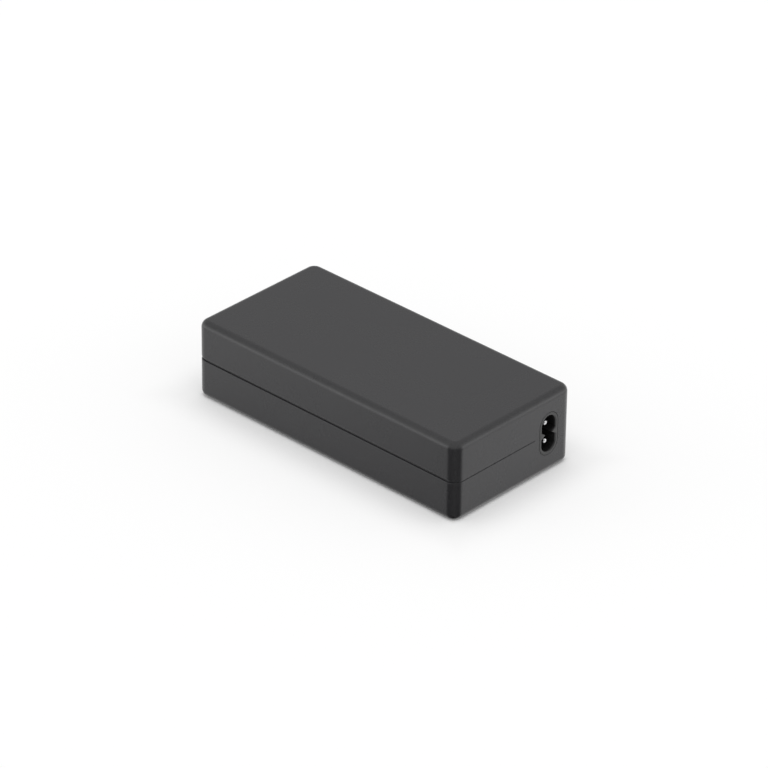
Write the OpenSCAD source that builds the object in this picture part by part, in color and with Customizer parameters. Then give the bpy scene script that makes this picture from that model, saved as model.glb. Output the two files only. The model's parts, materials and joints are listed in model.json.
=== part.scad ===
// Laptop power adapter: a two-part plastic case with a two-pin mains inlet in one end, a gland for
// the low-voltage lead in the other end, and the circuit board with its parts inside.
// Millimetres. +X points to the inlet end, +Z up. The origin is on the floor under the middle.

/* [Case] */
// Length of the case, along X
case_length = 146; // [132:1:170]
// Width of the case, along Y
case_width = 70; // [63:1:84]
// Height of the case, without the feet
case_height = 35.5; // [32:0.5:44]
// Thickness of the case walls
wall = 2.4; // [2:0.1:2.6]
// Radius of the four upright corners
corner_r = 4.8; // [4.4:0.2:8]
// Radius along the top edges
top_edge_r = 3.2; // [1:0.2:4]
// Radius along the bottom edges
bottom_edge_r = 2.5; // [1:0.1:4]

/* [Seam between the halves] */
// Height of the shadow line round the case
seam_gap = 0.7; // [0.3:0.1:1.2]
// Height of the welded tongue above the seam
tongue_height = 2; // [1.2:0.2:3]
// Length of plain wall between the shadow line and the inlet or gland
seam_stop = 2.6; // [1:0.2:4]

/* [Mains inlet] */
// Distance of the inlet's middle from the nearer long side of the case
inlet_inset = 13.8; // [13:0.2:16]
// Distance between the two pins
pin_spacing = 8.6; // [8.4:0.1:8.8]
// Diameter of a pin
pin_d = 2.4; // [2.2:0.1:2.6]
// Depth of the pin tips below the face of the inlet
pin_recess = 1.6; // [1:0.1:3]
// Radius of the round edge of a pin's tip
pin_tip_r = 0.5; // [0.2:0.1:0.9]
// Radius of each round end of the socket
socket_r = 4; // [3.8:0.1:4.1]
// Width of the socket at its waist, between the tips of its two noses
socket_waist = 4.2; // [3.4:0.1:5]
// Height of a nose where it leaves the side of the socket
nose_height = 3; // [2:0.1:4]
// Depth of the socket
socket_depth = 11; // [10:0.5:12]
// Thickness of the wall round the socket
socket_rim = 1.45; // [1.2:0.05:1.6]
// Thickness of the wall behind the socket
socket_back = 2.5; // [2:0.1:3]
// Distance that the holding flange stands out round the inlet
inlet_flange_side = 2; // [1.5:0.1:2.4]
// Thickness of the holding flange
inlet_flange_t = 2; // [1.5:0.1:2.5]
// Diameter of a pin inside the back wall
pin_shank_d = 3; // [2.8:0.1:3.4]
// Diameter of the collar that seats a pin behind the back wall
pin_collar_d = 4.2; // [3.8:0.1:5]
// Thickness of that collar
pin_collar_t = 0.8; // [0.6:0.1:1.2]
// Diameter of the solder tail of a pin
pin_tail_d = 2; // [1.6:0.1:2.4]
// Length of the solder tail of a pin
pin_tail = 4; // [3:0.2:5]

/* [Output gland] */
// Diameter of the hole for the low-voltage lead
gland_bore_d = 4.5; // [3.5:0.1:5.5]
// Diameter of the gland in the end wall
gland_d = 9.4; // [8.6:0.1:11]
// Distance that the gland's flange stands out round it
gland_flange_side = 2; // [1.2:0.1:2.6]
// Thickness of the gland's flange
gland_flange_t = 2; // [1.5:0.1:2.5]
// Diameter of the gland's tail inside the case
gland_tail_d = 8; // [7:0.1:9]
// Length of the gland's tail behind its flange
gland_tail = 4.6; // [3:0.2:5]

/* [Rubber feet] */
// Diameter of a foot
foot_d = 9; // [7:0.5:12]
// Thickness of a foot
foot_t = 1.2; // [1:0.1:1.5]
// Distance that a foot stands out below the case
foot_out = 0.4; // [0.2:0.1:0.8]
// Distance of a foot's middle from the sides of the case
foot_inset = 12; // [10:0.5:16]

/* [Circuit board and its mounting] */
// Thickness of the board
board_t = 1.6; // [1:0.1:2]
// Gap between the board and the walls
board_margin = 1.2; // [0.8:0.1:1.6]
// Room for solder below the board
solder_room = 3; // [2.6:0.2:3.6]
// Diameter of the posts that clamp the board
post_d = 5; // [4:0.2:6]
// Diameter of the peg on each lower post
peg_d = 2.6; // [2:0.1:3]
// Distance of the posts from the edges of the board
post_inset = 4; // [3.6:0.2:4.6]
// Thickness of the ribs that hold the inlet and the gland
rib_t = 1.6; // [1.2:0.1:2]
// Diameter of the component leads
lead_d = 0.8; // [0.6:0.1:1]
// Length of the leads below the board
lead_out = 1.6; // [1:0.1:2]
// Straight length of a lead before it bends down
lead_run = 1; // [0.5:0.1:1.5]
// Radius of the bend in a lead
lead_bend = 1; // [0.8:0.1:1.4]
// Gap between neighbours on the board
item_gap = 2; // [1.6:0.1:2.4]
// Gap between the parts and the edge of the board
edge_gap = 1; // [0.6:0.1:1.2]

/* [Heat spreaders and insulation] */
// Thickness of the aluminium heat spreaders
spreader_t = 0.8; // [0.5:0.1:1.2]
// Thickness of the insulating sheets
sheet_t = 0.4; // [0.2:0.1:0.6]
// Thickness of the thermal pads under the upper sheet
pad_t = 2; // [1:0.1:3]
// Thickness of a heat sink's plate
sink_t = 2; // [1.5:0.1:2.4]
// Depth of the flange at the top of a heat sink
sink_flange = 8; // [7:0.2:9]
// Length of the mains-side heat sink
primary_sink_length = 36; // [32:0.5:38]
// Length of the output-side heat sink
output_sink_length = 30; // [26:0.5:32]
// Width of the fixing tabs under a heat sink
sink_tab = 3; // [2:0.2:4]

/* [Input filter] */
// Length of the line capacitor
line_cap_length = 18; // [16:0.5:20]
// Thickness of the line capacitor
line_cap_t = 9; // [8:0.5:10]
// Height of the line capacitor
line_cap_height = 15; // [12:0.5:17]
// Distance between the leads of the line capacitor
line_cap_pitch = 15; // [10:0.5:15]
// Free height above the filter choke
ring_headroom = 2.6; // [2:0.1:4]
// Thickness of the ring from its bore to its outside
ring_wall = 3.5; // [2.5:0.1:4]
// Length of the ring along its axis
ring_t = 8; // [6:0.5:9]
// Thickness of the wire layer on the ring
ring_winding_t = 1.4; // [1:0.1:1.6]
// Part of the ring that each winding covers, in degrees
ring_winding_angle = 130; // [90:5:130]
// Width of the saddle under the ring
ring_saddle_w = 4.6; // [3:0.2:5]
// Thickness of the choke's base
ring_base_t = 2; // [1.5:0.1:2.4]
// Diameter of the fuse
fuse_d = 4; // [3.6:0.1:4.6]
// Length of the fuse
fuse_length = 11; // [9:0.5:12]
// Length of the metal caps on the fuse
fuse_cap = 2; // [1.5:0.1:3]
// Diameter of the surge varistor
varistor_d = 10; // [9:0.5:11]
// Thickness of the surge varistor
varistor_t = 4.5; // [3.5:0.1:5]
// Diameter of the inrush thermistor
thermistor_d = 10; // [8:0.5:11]
// Thickness of the inrush thermistor
thermistor_t = 4; // [3:0.1:4.4]
// Distance between the leads of a disc part
disc_pitch = 5; // [4.5:0.1:7]

/* [Mains-side power stage] */
// Width of the bridge rectifier
bridge_width = 22; // [20:0.5:24]
// Thickness of the bridge rectifier
bridge_t = 3.6; // [3.2:0.1:4.2]
// Height of the body of the bridge rectifier
bridge_height = 15; // [12:0.5:16]
// Length of its leads above the board
bridge_leg = 3; // [2:0.2:4]
// Distance between its leads
bridge_pitch = 5.08; // [4.5:0.02:5.5]
// Diameter of the bulk capacitor
bulk_d = 18; // [16:0.5:19]
// Length of the bulk capacitor
bulk_length = 32; // [28:0.5:35]
// Distance between the leads of the bulk capacitor
bulk_pitch = 7.5; // [5:0.5:10]
// Length along Y of the boost choke's core
boost_core_length = 27; // [25:0.5:29]
// Width along X of the boost choke's core
boost_core_width = 14; // [12:0.5:15]
// Free height above the boost choke's core
boost_headroom = 3.1; // [2:0.1:5]

/* [Transformer] */
// Length along Y of the transformer's core
core_length = 32; // [30:0.5:33]
// Width along X of the transformer's core
core_width = 20; // [18:0.5:22]
// Thickness of the thermal pad on the transformer's core
core_pad_t = 2.1; // [1:0.1:3]
// Thickness of the plates and of the outer legs of the cores
core_plate = 4.5; // [4:0.1:5]
// Radius of the middle leg of the transformer's core
core_post_r = 5.5; // [5:0.1:5.8]
// Gap between the board and a core
core_lift = 0.6; // [0.4:0.1:0.9]
// Air gap in the middle legs
core_air_gap = 0.5; // [0.2:0.1:0.8]
// Thickness of the walls of the bobbins
bobbin_t = 0.9; // [0.7:0.1:1.1]
// Width of the pin rails of the bobbins
rail_w = 2.6; // [2.2:0.1:3]
// Distance between the pins in a rail
rail_pitch = 5; // [4:0.2:5.4]

/* [Power semiconductors] */
// Width of a power semiconductor
chip_w = 10; // [9.5:0.1:10.6]
// Thickness of its body
chip_t = 4.5; // [4.2:0.1:4.8]
// Height of its body
chip_h = 9; // [8.5:0.1:9.4]
// Height of the metal tab above its body
chip_tab_h = 6.4; // [6:0.1:6.8]
// Thickness of the metal tab
chip_tab_t = 1.3; // [1:0.1:1.5]
// Gap between the metal tab and the flange of the heat sink
chip_headroom = 0.5; // [0.3:0.1:1.5]
// Distance between the legs
chip_pitch = 2.54; // [2.2:0.02:2.8]
// Thickness of the insulating pad behind it
mica_t = 0.3; // [0.2:0.05:0.5]
// Diameter of the fixing screw
screw_d = 3; // [2.5:0.1:3.2]
// Diameter of the head of the fixing screw
screw_head_d = 5.4; // [5:0.1:5.8]
// Height of the head of the fixing screw
screw_head_h = 2; // [1.6:0.1:2.4]

/* [Isolation and control] */
// Diameter of the safety capacitor
safety_cap_d = 9; // [7:0.5:10]
// Thickness of the safety capacitor
safety_cap_t = 4; // [3:0.1:4.5]
// Distance between the leads of the safety capacitor
safety_cap_pitch = 7.5; // [5:0.1:7.6]
// Length of the optocoupler's body
opto_length = 6.5; // [6:0.1:7]
// Width of the optocoupler's body
opto_width = 4.6; // [4.4:0.1:5]
// Height of the optocoupler's body
opto_height = 3.5; // [3:0.1:4]
// Distance across the optocoupler's rows of leads
opto_span = 7.6; // [7.4:0.1:9]
// Distance between the leads in a row
opto_pitch = 2.54; // [2:0.02:3]
// Length of the controller chip
control_length = 9.9; // [9.4:0.1:10.6]
// Width of the controller chip
control_width = 3.9; // [3.6:0.1:4.2]
// Height of the controller chip
control_height = 1.5; // [1.2:0.1:1.8]
// Height of the controller chip's body above the board
control_standoff = 0.1; // [0.05:0.01:0.15]
// Width of the controller chip's feet
control_foot_w = 0.4; // [0.3:0.05:0.5]
// Thickness of the controller chip's feet
control_foot_t = 0.25; // [0.2:0.01:0.3]
// Distance between the controller chip's feet
control_pitch = 1.27; // [1.1:0.01:1.35]
// Length of the controller chip's feet
control_foot = 1; // [0.8:0.1:1.2]

/* [Output stage] */
// Diameter of an output capacitor
out_cap_d = 10; // [8:0.5:10.5]
// Height of an output capacitor
out_cap_height = 20; // [16:0.5:21]
// Radius of the rolled groove near the sealed end of a can
can_groove_r = 0.6; // [0.4:0.1:1]
// Depth of that groove
can_groove_depth = 0.4; // [0.2:0.05:0.5]
// Distance of that groove from the sealed end
can_groove_z = 2.4; // [1.6:0.1:3]
// Number of output capacitors
out_cap_count = 3; // [1:1:3]
// Diameter of the output choke
drum_d = 12; // [10:0.5:13]
// Height of the output choke
drum_height = 13; // [10:0.5:15]
// Diameter of the output choke's neck
drum_neck_d = 5; // [4:0.2:6]
// Thickness of the output choke's flanges
drum_flange = 1.6; // [1.2:0.1:2]
// Gap between the edge of a flange and the winding
drum_edge = 0.6; // [0.4:0.1:1]
// Diameter of an output terminal
terminal_d = 3; // [2.5:0.1:3.5]
// Height of an output terminal
terminal_height = 5; // [4:0.5:7]
// Distance between the output terminals
terminal_pitch = 10; // [8:0.5:12]

/* [Inlet wires] */
// Straight length of the lower wire behind its pin
wire_straight = 1; // [0.6:0.1:1.4]
// Diameter of the insulated wires
wire_d = 2; // [1.6:0.1:2.4]
// Radius of the bend in each wire
wire_bend = 2.5; // [2:0.1:2.8]
// Distance between the places where the two wires meet the board
wire_pitch = 4; // [3.4:0.1:4.6]

/* [Fits] */
// Gap round the inlet and the gland in the case walls
opening_gap = 0.2; // [0.1:0.05:0.5]
// Gap beside the tongue in its groove
tongue_gap = 0.1; // [0.05:0.05:0.2]
// Gap round a pin's shank in the inlet
shank_gap = 0.05; // [0.05:0.01:0.1]
// Gap round a lead in its hole
lead_gap = 0.2; // [0.1:0.05:0.3]
// Gap round a peg, a foot or a screw in its hole
peg_gap = 0.2; // [0.1:0.05:0.3]
// Gap between a post and the sheets round it
post_gap = 0.4; // [0.2:0.1:0.8]
// Gap between round parts that lie side by side
round_gap = 0.3; // [0.2:0.05:0.5]

/* [Hidden] */
$fn = 64;
cut = 1;

// Inside of the case
inner_length = case_length - 2 * wall;
inner_width = case_width - 2 * wall;
face_x = case_length / 2;
inside_x = inner_length / 2;
floor_z = foot_out + wall;
ceiling_z = foot_out + case_height - wall;
seam_z = foot_out + case_height / 2;
half_height = case_height / 2;

// Levels of the board and of the sheets
board_z = floor_z + spreader_t + sheet_t + solder_room;
board_top = board_z + board_t;
upper_sheet_z = ceiling_z - spreader_t - sheet_t;
sink_top = upper_sheet_z - pad_t;
room = upper_sheet_z - board_top;

// Inlet
inlet_y = case_width / 2 - inlet_inset;
inlet_r = socket_r + socket_rim;
inlet_height = pin_spacing + 2 * inlet_r;
inlet_back_x = face_x - socket_depth - socket_back;
pin_tail_x = inlet_back_x - pin_collar_t - pin_tail;
inlet_flange_r = inlet_r + inlet_flange_side;
upper_pin_z = seam_z + pin_spacing / 2;
lower_pin_z = seam_z - pin_spacing / 2;

// Outline of the board, with a notch for the inlet and its ribs
board_x0 = -inside_x + gland_flange_t + rib_t + board_margin;
board_x1 = inside_x - board_margin;
board_y = inner_width / 2 - board_margin;
notch_x = inlet_back_x - board_margin;
notch_y = inlet_y - inlet_flange_r - board_margin;
posts = [
    [board_x0 + post_inset, -board_y + post_inset],
    [board_x0 + post_inset, board_y - post_inset],
    [board_x1 - post_inset, -board_y + post_inset],
    [notch_x - post_inset, board_y - post_inset]
];

// First row behind the inlet: varistor and line capacitor
post_side = post_inset + post_d / 2;
varistor_at = [
    board_x1 - edge_gap - varistor_d / 2,
    -board_y + post_side + item_gap + varistor_t / 2
];
line_cap_at = [
    board_x1 - edge_gap - line_cap_t / 2,
    varistor_at.y + varistor_t / 2 + item_gap + line_cap_length / 2
];
row_1_x = board_x1 - edge_gap - max(line_cap_t, varistor_d);

// Second row: filter choke and fuse
ring_length = ring_t + 2 * ring_winding_t;
ring_half = (room - ring_headroom - ring_base_t - round_gap) / 2;
ring_d = 2 * (ring_half - ring_winding_t);
ring_bore_d = ring_d - 2 * ring_wall;
ring_at = [row_1_x - item_gap - ring_length / 2, line_cap_at.y];
ring_z = board_top + ring_base_t + ring_half + round_gap;
fuse_lead_x = fuse_length / 2 + lead_run + lead_bend;
fuse_at = [
    min(ring_at.x, notch_x - item_gap - fuse_lead_x),
    ring_at.y + ring_half + item_gap + fuse_d / 2
];
fuse_z = board_top + fuse_d / 2 + round_gap;
row_2_x = ring_at.x - ring_length / 2;

// Inlet wires
lower_wire_x = pin_tail_x - wire_straight - wire_bend;
upper_wire_x = lower_wire_x - wire_pitch;

// Third row: bridge rectifier and thermistor, then the boost choke and the controller chip
bridge_at = [row_2_x - item_gap - bridge_t / 2, -board_y + edge_gap + bridge_width / 2];
thermistor_at = [
    min(bridge_at.x, fuse_at.x - fuse_lead_x - item_gap - thermistor_t / 2),
    bridge_at.y + (bridge_width + thermistor_d) / 2 + item_gap
];
row_3_x = min(bridge_at.x - bridge_t / 2, thermistor_at.x - thermistor_t / 2);
boost_half = boost_core_width / 2 + round_gap + rail_w;
boost_at = [row_3_x - item_gap - boost_half, -board_y + edge_gap + boost_core_length / 2];
control_span = control_width + 2 * control_foot;
control_at = [boost_at.x - boost_half - item_gap - control_span / 2, boost_at.y];

// Bulk capacitor, and the heat sink behind it
sink_y = board_y - edge_gap / 2;
chip_face_y = sink_y - sink_t - mica_t;
bulk_lead_x = row_3_x - item_gap;
bulk_at = [
    bulk_lead_x - lead_bend - lead_run - bulk_length / 2,
    chip_face_y - chip_t - item_gap - bulk_d / 2
];
bulk_z = board_top + bulk_d / 2 + round_gap;
primary_sink_x = bulk_at.x;

// Output stage, laid out from the gland end: terminals with the choke beside them, then the capacitors
terminal_x = board_x0 + post_inset + item_gap;
drum_at = [
    board_x0 + edge_gap + drum_d / 2,
    (terminal_pitch + terminal_d + drum_d) / 2 + item_gap
];
out_cap_x = terminal_x + terminal_d / 2 + item_gap + out_cap_d / 2;
out_cap_pitch = out_cap_d + item_gap;
out_cap_y = -board_y + edge_gap + out_cap_d / 2;
output_end_x = max(out_cap_x + out_cap_d / 2, drum_at.x + drum_d / 2);
output_sink_x = board_x0 + post_side + item_gap + output_sink_length / 2;

// Transformer, half way between the mains parts and the output stage
mains_end_x = min(control_at.x - control_span / 2, bulk_at.x - bulk_length / 2);
core_half = core_width / 2 + round_gap + rail_w;
core_height = room - core_lift - core_pad_t;
boost_core_height = room - core_lift - boost_headroom;
core_z = board_top + core_lift;
core_at = [(mains_end_x + output_end_x) / 2, -board_y + edge_gap + core_length / 2];
primary_winding_in = core_post_r + round_gap + bobbin_t + round_gap;
secondary_winding_out = core_length / 2 - core_plate - 2 * round_gap;
winding_split = (primary_winding_in + secondary_winding_out) / 2;
safety_cap_at = [core_at.x, core_at.y + core_length / 2 + item_gap + safety_cap_t / 2];
opto_at = [core_at.x, safety_cap_at.y + safety_cap_t / 2 + item_gap + opto_width / 2];

// Power semiconductors, in pairs on the heat sinks
switch_x = [primary_sink_x - primary_sink_length / 4, primary_sink_x + primary_sink_length / 4];
rectifier_x = [output_sink_x - output_sink_length / 4, output_sink_x + output_sink_length / 4];
chip_leg = sink_top - board_top - sink_t - chip_headroom - chip_h - chip_tab_h;
chip_hole_z = board_top + chip_leg + chip_h + chip_tab_h / 2;

// Places of the leads, as [x, y]
function pair_x(at, pitch) = [[at.x - pitch / 2, at.y], [at.x + pitch / 2, at.y]];
function pair_y(at, pitch) = [[at.x, at.y - pitch / 2], [at.x, at.y + pitch / 2]];
function rails(at, half, count) = [
    for (s = [-1, 1], i = [0:count - 1])
        [at.x + s * (half - rail_w / 2), at.y + (i - (count - 1) / 2) * rail_pitch]
];
function chip_legs(xs) = [for (x = xs, i = [-1, 0, 1]) [x + i * chip_pitch, chip_face_y - chip_t / 2]];
function sink_tabs(x, length) = [
    for (s = [-1, 1]) [x + s * (length / 2 - sink_tab), sink_y - sink_t / 2]
];

line_cap_leads = pair_y(line_cap_at, line_cap_pitch);
varistor_leads = pair_x(varistor_at, disc_pitch);
thermistor_leads = pair_y(thermistor_at, disc_pitch);
ring_leads = [for (x = [-1, 1], y = [-1, 1]) ring_at + [x * ring_t / 2, y * ring_d / 2]];
fuse_leads = pair_x(fuse_at, 2 * fuse_lead_x);
bridge_leads = [for (i = [-1.5:1.5]) bridge_at + [0, i * bridge_pitch]];
boost_leads = rails(boost_at, boost_half, 2);
core_leads = rails(core_at, core_half, 4);
bulk_leads = pair_y([bulk_lead_x, bulk_at.y], bulk_pitch);
safety_cap_leads = pair_x(safety_cap_at, safety_cap_pitch);
opto_leads = [for (x = [-1, 1], y = [-1, 1]) opto_at + [x * opto_span / 2, y * opto_pitch / 2]];
out_cap_places = [for (i = [0:out_cap_count - 1]) [out_cap_x, out_cap_y + i * out_cap_pitch]];
out_cap_leads = [for (p = out_cap_places) each pair_y(p, out_cap_d / 2)];
drum_leads = pair_y(drum_at, drum_d / 2);
terminal_places = pair_y([terminal_x, 0], terminal_pitch);
wire_leads = [[lower_wire_x, inlet_y], [upper_wire_x, inlet_y]];
lead_places = concat(
    line_cap_leads, varistor_leads, thermistor_leads, ring_leads, fuse_leads, bridge_leads,
    boost_leads, core_leads, bulk_leads, safety_cap_leads, opto_leads, out_cap_leads, drum_leads,
    terminal_places, wire_leads, chip_legs(switch_x), chip_legs(rectifier_x)
);
tab_places = concat(
    sink_tabs(primary_sink_x, primary_sink_length),
    sink_tabs(output_sink_x, output_sink_length)
);

case_grey = [0.20, 0.20, 0.20];
ferrite = [0.16, 0.16, 0.17];
copper = [0.72, 0.43, 0.24];
tin = [0.78, 0.78, 0.80];
aluminium = [0.70, 0.71, 0.73];
moulding = [0.07, 0.07, 0.08];

// ---------------------------------------------------------------- shapes that repeat

// Rectangle with round corners
module plan(l, w, r) {
    square([l, w - 2 * r], center = true);
    square([l - 2 * r, w], center = true);
    for (x = [-1, 1], y = [-1, 1])
        translate([x * (l / 2 - r), y * (w / 2 - r)])
            circle(r);
}

// Outline of the case, drawn in by a distance
module case_plan(inset) {
    plan(case_length - 2 * inset, case_width - 2 * inset, corner_r - inset);
}

// Half of an upright section with a round upper edge
module edge_profile(half, h, edge) {
    square([half, h - edge]);
    square([half - edge, h]);
    translate([half - edge, h - edge])
        intersection() {
            circle(edge);
            square(edge);
        }
}

// Solid half of the case: flat at z = 0, with round edges at its far face
module case_block(edge) {
    for (x = [-1, 1], y = [-1, 1])
        translate([x * (case_length / 2 - corner_r), y * (case_width / 2 - corner_r), 0])
            rotate_extrude()
                edge_profile(corner_r, half_height, edge);
    for (s = [0, 1])
        mirror([s, 0, 0])
            rotate([90, 0, 0])
                translate([0, 0, corner_r - case_width / 2])
                    linear_extrude(case_width - 2 * corner_r)
                        edge_profile(case_length / 2, half_height, edge);
    for (s = [0, 1])
        mirror([0, s, 0])
            rotate([90, 0, 90])
                translate([0, 0, corner_r - case_length / 2])
                    linear_extrude(case_length - 2 * corner_r)
                        edge_profile(case_width / 2, half_height, edge);
}

// Upright outline with round ends
module stadium(r, spacing) {
    for (s = [-1, 1])
        translate([0, s * spacing / 2])
            circle(r);
    square([2 * r, spacing], center = true);
}

// Bar along X with an upright outline as its section
module bar_x(length) {
    rotate([90, 0, 90])
        linear_extrude(length)
            children();
}

module stadium_x(r, spacing, length) {
    bar_x(length)
        stadium(r, spacing);
}

module rod_x(d, length) {
    rotate([0, 90, 0])
        cylinder(d = d, h = length);
}

module rod_y(d, length) {
    rotate([-90, 0, 0])
        cylinder(d = d, h = length);
}

// Leads from a height above the board down through it
module leads(places, rise) {
    for (p = places)
        translate([p.x, p.y, board_z - lead_out])
            cylinder(d = lead_d, h = lead_out + board_t + rise);
}

// Wire that runs along -X, bends down and ends after a drop
module bent_wire(d, run, bend, drop) {
    translate([-run, 0, 0])
        rod_x(d, run);
    translate([-run, 0, -bend])
        rotate([90, 0, 0])
            rotate_extrude(angle = 90, start = 90)
                translate([bend, 0])
                    circle(d = d);
    translate([-run - bend, 0, -bend - drop])
        cylinder(d = d, h = drop);
}

// Disc part that stands on its two leads, thin along Y, or along X where turn is 90
module disc_part(at, d, t, places, turn = 0) {
    translate([at.x, at.y, board_top + d / 2 + round_gap])
        rotate([0, 0, turn])
            translate([0, -t / 2, 0])
                rod_y(d, t);
    leads(places, d / 2);
}

// Outline of the board and the sheets
module tray_plan() {
    polygon([
        [board_x0, -board_y],
        [board_x1, -board_y],
        [board_x1, notch_y],
        [notch_x, notch_y],
        [notch_x, board_y],
        [board_x0, board_y]
    ]);
}

module sheet_with_post_holes(z, t) {
    translate([0, 0, z])
        linear_extrude(t)
            difference() {
                tray_plan();
                for (p = posts)
                    translate(p)
                        circle(d = post_d + 2 * post_gap);
            }
}

// One half of a gapped ferrite core, with its plate at z = 0
module core_half_block(l, w, half_h, post_r) {
    translate([-w / 2, -l / 2, 0])
        cube([w, l, core_plate]);
    for (s = [-1, 1])
        translate([-w / 2, s * (l - core_plate) / 2 - core_plate / 2, 0])
            cube([w, core_plate, half_h]);
    cylinder(r = post_r, h = half_h - core_air_gap / 2);
}

// Bobbin on a ferrite core of full height h: a tube, two flanges and two pin rails
module core_bobbin(l, w, h, post_r) {
    tube_r = post_r + round_gap;
    window = l / 2 - core_plate;
    rail_x = w / 2 + round_gap;
    flange_z = core_lift + core_plate;
    top_z = core_lift + h - core_plate;
    difference() {
        union() {
            translate([0, 0, flange_z])
                cylinder(r = tube_r + bobbin_t, h = top_z - flange_z);
            for (z = [flange_z, top_z - bobbin_t])
                translate([0, 0, z])
                    cylinder(r = window - round_gap, h = bobbin_t);
            translate([-rail_x - rail_w, -window + round_gap, flange_z])
                cube([2 * (rail_x + rail_w), 2 * (window - round_gap), bobbin_t]);
            for (s = [0, 1])
                mirror([s, 0, 0])
                    translate([rail_x, -window + round_gap, 0])
                        cube([rail_w, 2 * (window - round_gap), flange_z + bobbin_t]);
        }
        translate([0, 0, flange_z - cut])
            cylinder(r = tube_r, h = h);
    }
}

// Winding between two radii on a core of full height h
module core_winding(h, inner_r, outer_r) {
    low_z = core_lift + core_plate + bobbin_t;
    translate([0, 0, low_z])
        difference() {
            cylinder(r = outer_r, h = h - 2 * core_plate - 2 * bobbin_t);
            translate([0, 0, -cut])
                cylinder(r = inner_r, h = h);
        }
}

// Can capacitor along +Z from its sealed end
module can(d, h) {
    rotate_extrude()
        difference() {
            square([d / 2, h]);
            translate([d / 2 + can_groove_r - can_groove_depth, can_groove_z])
                circle(can_groove_r);
        }
}

// Power semiconductor on three legs, with its back at y = chip_face_y
module power_chip(x) {
    translate([x - chip_w / 2, chip_face_y - chip_t, board_top + chip_leg])
        cube([chip_w, chip_t, chip_h]);
    difference() {
        translate([x - chip_w / 2, chip_face_y - chip_tab_t, board_top + chip_leg])
            cube([chip_w, chip_tab_t, chip_h + chip_tab_h]);
        translate([x, chip_face_y - chip_tab_t - cut, chip_hole_z])
            rod_y(screw_d + 2 * peg_gap, chip_tab_t + 2 * cut);
    }
    leads(chip_legs([x]), chip_leg);
}

module insulator(x) {
    difference() {
        translate([x - chip_w / 2, chip_face_y, board_top + chip_leg])
            cube([chip_w, mica_t, chip_h + chip_tab_h]);
        translate([x, chip_face_y - cut, chip_hole_z])
            rod_y(screw_d + 2 * peg_gap, mica_t + 2 * cut);
    }
}

module screw(x) {
    translate([x, chip_face_y - chip_tab_t - screw_head_h, chip_hole_z])
        rod_y(screw_head_d, screw_head_h);
    translate([x, chip_face_y - chip_tab_t - cut, chip_hole_z])
        rod_y(screw_d, chip_tab_t + mica_t + sink_t + cut);
}

// Heat sink: an upright plate with a flange along its top and tabs through the board
module heat_sink(x, length, chip_xs) {
    difference() {
        union() {
            translate([x - length / 2, sink_y - sink_t, board_top])
                cube([length, sink_t, sink_top - board_top]);
            translate([x - length / 2, sink_y - sink_flange, sink_top - sink_t])
                cube([length, sink_flange, sink_t]);
            for (p = sink_tabs(x, length))
                translate([p.x - sink_tab / 2, sink_y - sink_t + peg_gap, board_z - lead_out])
                    cube([sink_tab, sink_t - 2 * peg_gap, lead_out + board_t + cut]);
        }
        for (hole_x = chip_xs)
            translate([hole_x, sink_y - sink_t - cut, chip_hole_z])
                rod_y(screw_d + peg_gap, sink_t + 2 * cut);
    }
}

module sink_pad(x, length) {
    translate([x - length / 2, sink_y - sink_flange, sink_top])
        cube([length, sink_flange, pad_t]);
}

// ---------------------------------------------------------------- case

// Shadow line: a shallow cut round the outside. It stops short of the inlet and the gland, and leaves
// out the corner beyond the inlet.
module seam_cut(h) {
    difference() {
        linear_extrude(h)
            difference() {
                case_plan(-cut);
                case_plan(wall / 2);
            }
        translate([face_x - corner_r - seam_stop, inlet_y - inlet_r - opening_gap - seam_stop, -cut])
            cube([face_x, case_width, h + 2 * cut]);
        translate([-face_x - 2 * cut, -gland_d / 2 - opening_gap - seam_stop, -cut])
            cube([face_x, gland_d + 2 * (opening_gap + seam_stop), h + 2 * cut]);
    }
}

// Holes in the end walls for the inlet and the gland
module end_openings() {
    translate([inside_x - cut, inlet_y, seam_z])
        stadium_x(inlet_r + opening_gap, pin_spacing, wall + 2 * cut);
    translate([-face_x - cut, 0, seam_z])
        rod_x(gland_d + 2 * opening_gap, wall + 2 * cut);
}

// Ribs behind the inlet's flange and the gland's flange, cut out for what passes through
module end_ribs(z, h) {
    rib_y = inlet_y - inlet_flange_r;
    difference() {
        union() {
            translate([inside_x - inlet_flange_t - rib_t, rib_y, z])
                cube([rib_t, inner_width / 2 - rib_y + wall / 2, h]);
            translate([-inside_x + gland_flange_t, -gland_d / 2 - gland_flange_side, z])
                cube([rib_t, gland_d + 2 * gland_flange_side, h]);
        }
        translate([inlet_back_x, inlet_y, seam_z])
            stadium_x(inlet_r + opening_gap, pin_spacing, face_x);
        translate([-face_x, 0, seam_z])
            rod_x(gland_tail_d + 2 * opening_gap, face_x);
    }
}

module top_shell() {
    color(case_grey)
        difference() {
            union() {
                difference() {
                    translate([0, 0, seam_z])
                        case_block(top_edge_r);
                    translate([0, 0, seam_z - cut])
                        linear_extrude(ceiling_z - seam_z + cut)
                            case_plan(wall);
                    translate([0, 0, seam_z - cut])
                        linear_extrude(tongue_height + cut)
                            case_plan(wall / 2);
                    translate([0, 0, seam_z])
                        seam_cut(seam_gap / 2);
                }
                for (p = posts)
                    translate([p.x, p.y, board_top])
                        cylinder(d = post_d, h = ceiling_z - board_top + wall / 2);
                end_ribs(seam_z + tongue_height, ceiling_z - seam_z - tongue_height + wall / 2);
            }
            end_openings();
        }
}

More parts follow.
